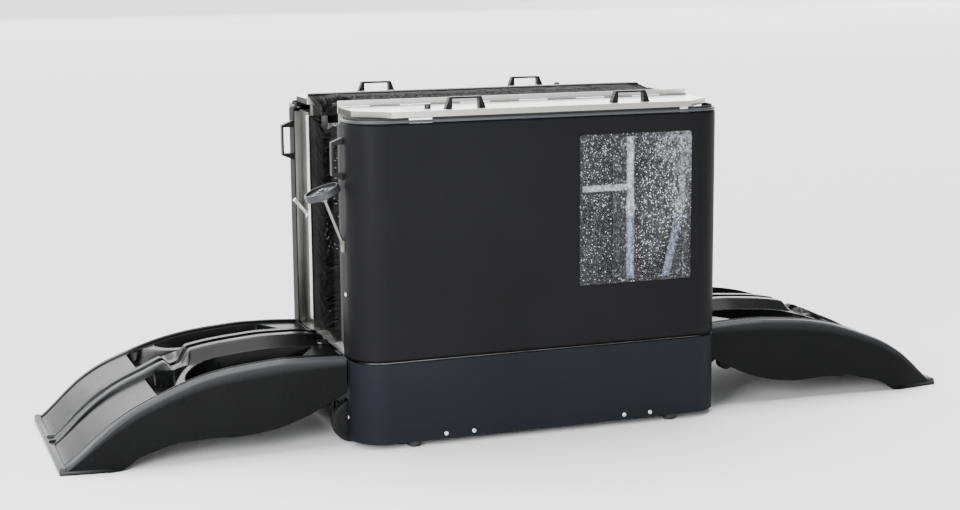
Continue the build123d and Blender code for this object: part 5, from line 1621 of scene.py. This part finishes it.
@dataclass
class RollerBrush:
    """Upright brush roller: filaments in levels round a thin sleeve, each level turned on from the last."""

    half: Half
    drive: Drive
    levels: int = 76
    rows: int = 34
    sleeve_radius: float = 0.0302
    sleeve_wall: float = 0.003
    sleeve_steps: int = 32
    end_margin: float = 0.012
    level_turn: float = 0.37
    angle_spread: float = 0.05
    rise_spread: float = 0.05
    lengths: Span = (0.95, 0.995)
    sag: float = 0.006
    strand_radius: float = 0.0011
    tip_share: float = 0.7
    seed: int = 71

    def build(self, dressing: Dressing) -> bpy.types.Object:
        """Makes the filaments on their sleeve.

        Args:
            dressing: the machine's finishes.

        Returns:
            The roller's bristle piece.
        """
        roller = f"{self.half.value}_{self.drive.value}_roller"
        node = roller + "_brush"
        low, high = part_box(node)
        centre = (low + high) / 2
        outer = (high.x - low.x) / 2
        inner, root, tip_radius = self.sleeve_radius, self.strand_radius, self.strand_radius * self.tip_share
        draw = random.Random(self.seed)
        sleeve = lathe(rectangle(inner, inner + self.sleeve_wall, low.z, high.z), self.sleeve_steps)
        bmesh.ops.translate(sleeve, verts=sleeve.verts, vec=(centre.x, centre.y, 0.0))
        bunches = [sleeve]
        for level in range(self.levels):
            bunch = bmesh.new()
            z = low.z + self.end_margin + (high.z - low.z - 2 * self.end_margin) * level / (self.levels - 1)
            middle = Vector((centre.x, centre.y, z))
            for row in range(self.rows):
                angle = math.tau * (row / self.rows + self.level_turn * level)
                angle += draw.uniform(-self.angle_spread, self.angle_spread)
                way = Vector((math.cos(angle), math.sin(angle), draw.gauss(0.0, self.rise_spread)))
                tip = middle + way * outer * draw.uniform(*self.lengths)
                tip.z = min(max(tip.z - self.sag, low.z), high.z)
                add_strand(bunch, [middle + way * inner, tip], root, tip_radius)
            bunches.append(bunch)
        piece = Piece(node + "_bristles", roller, "pale_bristle", (node,), "pale_bristle")
        return piece.finish_mesh(joined(bunches), dressing)


@dataclass
class Hoses:
    """Two ribbed hoses of one half, between their couplings."""

    half: Half
    radius: float = 0.015
    bore: float = 0.009
    sides: int = 20
    ribs: int = 46
    rib_depth: float = 0.0026
    rib_shape: Profile = ((0.0, 1.0), (0.28, 1.0), (0.42, 0.25), (0.58, 0.0), (0.78, 0.25))
    top_z: float = 0.746
    bottom_z: float = 0.329
    line_y: float = -0.446
    upright_x: float = 0.326
    slanted_top_x: float = 0.516
    slanted_bottom_x: float = 0.420

    def one(self, top_x: float, bottom_x: float) -> bmesh.types.BMesh:
        """One ribbed hose of the front half.

        Args:
            top_x: place of its upper end.
            bottom_x: place of its lower end.

        Returns:
            The hose in its place.
        """
        top = Vector((top_x, self.line_y, self.top_z))
        way = Vector((bottom_x, self.line_y, self.bottom_z)) - top
        pitch = way.length / self.ribs
        profile = [(self.bore, 0.0)]
        for rib in range(self.ribs):
            profile += [(self.radius - self.rib_depth * depth, pitch * rib + pitch * share)
                        for share, depth in self.rib_shape]
        profile += [(self.radius - self.rib_depth, way.length), (self.bore, way.length)]
        shape = lathe(profile, self.sides)
        turn = way.to_track_quat("Z", "Y").to_matrix().to_4x4()
        bmesh.ops.transform(shape, matrix=Matrix.Translation(top) @ turn, verts=shape.verts)
        return shape

    def build(self, dressing: Dressing) -> bpy.types.Object:
        """Makes both hoses of the half as one piece.

        Args:
            dressing: the machine's finishes.

        Returns:
            The piece with both hoses.
        """
        lines = ((self.upright_x, self.upright_x), (self.slanted_top_x, self.slanted_bottom_x))
        shape = joined([self.one(*line) for line in lines])
        bmesh.ops.transform(shape, matrix=self.half.turn, verts=shape.verts)
        node = f"{self.half.value}_hoses"
        piece = Piece(node + "_ribbed", "base", "hose_plastic", (node,), "hose_plastic")
        return piece.finish_mesh(shape, dressing)


@dataclass(frozen=True)
class SoftLight:
    """One soft rectangular light that the camera doesn't see."""

    name: str
    place: Point
    aim: Point
    size: Span
    power: float

    def build(self) -> None:
        """Puts the light in its place, turned to its aim."""
        data = bpy.data.lights.new(self.name, "AREA")
        data.shape = "RECTANGLE"
        data.size, data.size_y = self.size
        data.energy = self.power
        lamp = bpy.data.objects.new(self.name, data)
        way = Vector(self.aim) - Vector(self.place)
        turn = way.to_track_quat("-Z", "Y").to_matrix().to_4x4()
        lamp.matrix_world = Matrix.Translation(self.place) @ turn
        lamp.visible_camera = False
        bpy.context.scene.collection.objects.link(lamp)


@dataclass
class Studio:
    """Pale floor, soft light and the photograph's point of view."""

    image_width: float = 960.0
    focal_px: float = 1755.495
    sensor_mm: float = 36.0
    clip_end: float = 1000.0
    eye: Point = (-2.25581, -5.96789, 1.63063)
    yaw: float = 0.3509
    pitch: float = 0.1667
    roll: float = -0.0085
    floor_half: float = 400.0
    surround: Colour = (0.95, 0.97, 1.0)
    surround_strength: float = 0.45
    overhead_z: float = 5.0
    overhead_tilt: float = math.radians(-14.0)
    overhead_spread: float = math.radians(60.0)
    overhead_power: float = 7.0
    lights: tuple[SoftLight, ...] = (
        SoftLight("front_left", (-3.0, -3.2, 1.7), (-0.4, -0.3, 0.6), (1.8, 1.8), 260.0),
        SoftLight("front_card", (-0.3, -4.2, 0.7), (-0.5, 0.0, 0.7), (1.6, 1.4), 60.0),
        SoftLight("backdrop", (0.0, 50.0, 20.0), (0.0, 0.0, 20.0), (120.0, 24.0), 52000.0),
        SoftLight("backdrop_right", (40.0, 48.0, 5.5), (0.0, 0.0, 0.5), (34.0, 9.0), 3200.0),
    )

    def camera(self) -> None:
        """Sets up the camera."""
        yaw, pitch, roll = self.yaw, self.pitch, self.roll
        ahead = Vector((math.sin(yaw) * math.cos(pitch), math.cos(yaw) * math.cos(pitch), -math.sin(pitch)))
        right = Vector((math.cos(yaw), -math.sin(yaw), 0.0))
        up = right.cross(ahead)
        level_right = math.cos(roll) * right + math.sin(roll) * up
        level_up = math.cos(roll) * up - math.sin(roll) * right
        data = bpy.data.cameras.new("viewpoint")
        data.sensor_width = self.sensor_mm
        data.lens = self.focal_px * self.sensor_mm / self.image_width
        data.clip_end = self.clip_end
        camera = bpy.data.objects.new("viewpoint", data)
        turn = Matrix((level_right, level_up, -ahead)).transposed().to_4x4()
        camera.matrix_world = Matrix.Translation(self.eye) @ turn
        bpy.context.scene.collection.objects.link(camera)
        bpy.context.scene.camera = camera

    def floor(self) -> None:
        """Lays a wide pale floor."""
        shape = bmesh.new()
        bmesh.ops.create_grid(shape, x_segments=1, y_segments=1, size=self.floor_half)
        mesh = bpy.data.meshes.new("studio_floor")
        shape.to_mesh(mesh)
        shape.free()
        floor = bpy.data.objects.new("studio_floor", mesh)
        bpy.context.scene.collection.objects.link(floor)
        mesh.materials.append(FloorPaint().material())

    def surroundings(self) -> None:
        """Makes the pale surroundings."""
        world = bpy.data.worlds.new("studio")
        world.use_nodes = True
        background = world.node_tree.nodes["Background"]
        background.inputs["Color"].default_value = (*self.surround, 1.0)
        background.inputs["Strength"].default_value = self.surround_strength
        bpy.context.scene.world = world

    def overhead(self) -> None:
        """Adds one broad soft light from above."""
        data = bpy.data.lights.new("overhead", "SUN")
        data.energy = self.overhead_power
        data.angle = self.overhead_spread
        lamp = bpy.data.objects.new("overhead", data)
        tilt = Matrix.Rotation(self.overhead_tilt, 4, "X")
        lamp.matrix_world = Matrix.Translation((0.0, 0.0, self.overhead_z)) @ tilt
        bpy.context.scene.collection.objects.link(lamp)

    def build(self) -> None:
        """Makes the whole studio."""
        self.camera()
        self.floor()
        self.surroundings()
        self.overhead()
        for light in self.lights:
            light.build()


def main(frame: dict[str, Any]) -> None:
    """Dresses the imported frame.
    """
    logging.basicConfig(level=logging.INFO)
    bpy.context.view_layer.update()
    dressing = Dressing(frame["nodes"])
    dressing.coat_nodes(frame["record"])
    BrushSet().build(dressing)
    PostAngles().build(dressing)
    for half in Half:
        for drive in Drive:
            RollerBrush(half, drive).build(dressing)
        Hoses(half).build(dressing)
        CasingRim(half).build(dressing)
    for end in (End.EXIT, End.ENTRY):
        Ramp(end).build(dressing)
    Studio().build()


if __name__ == "__main__":
    main(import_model())
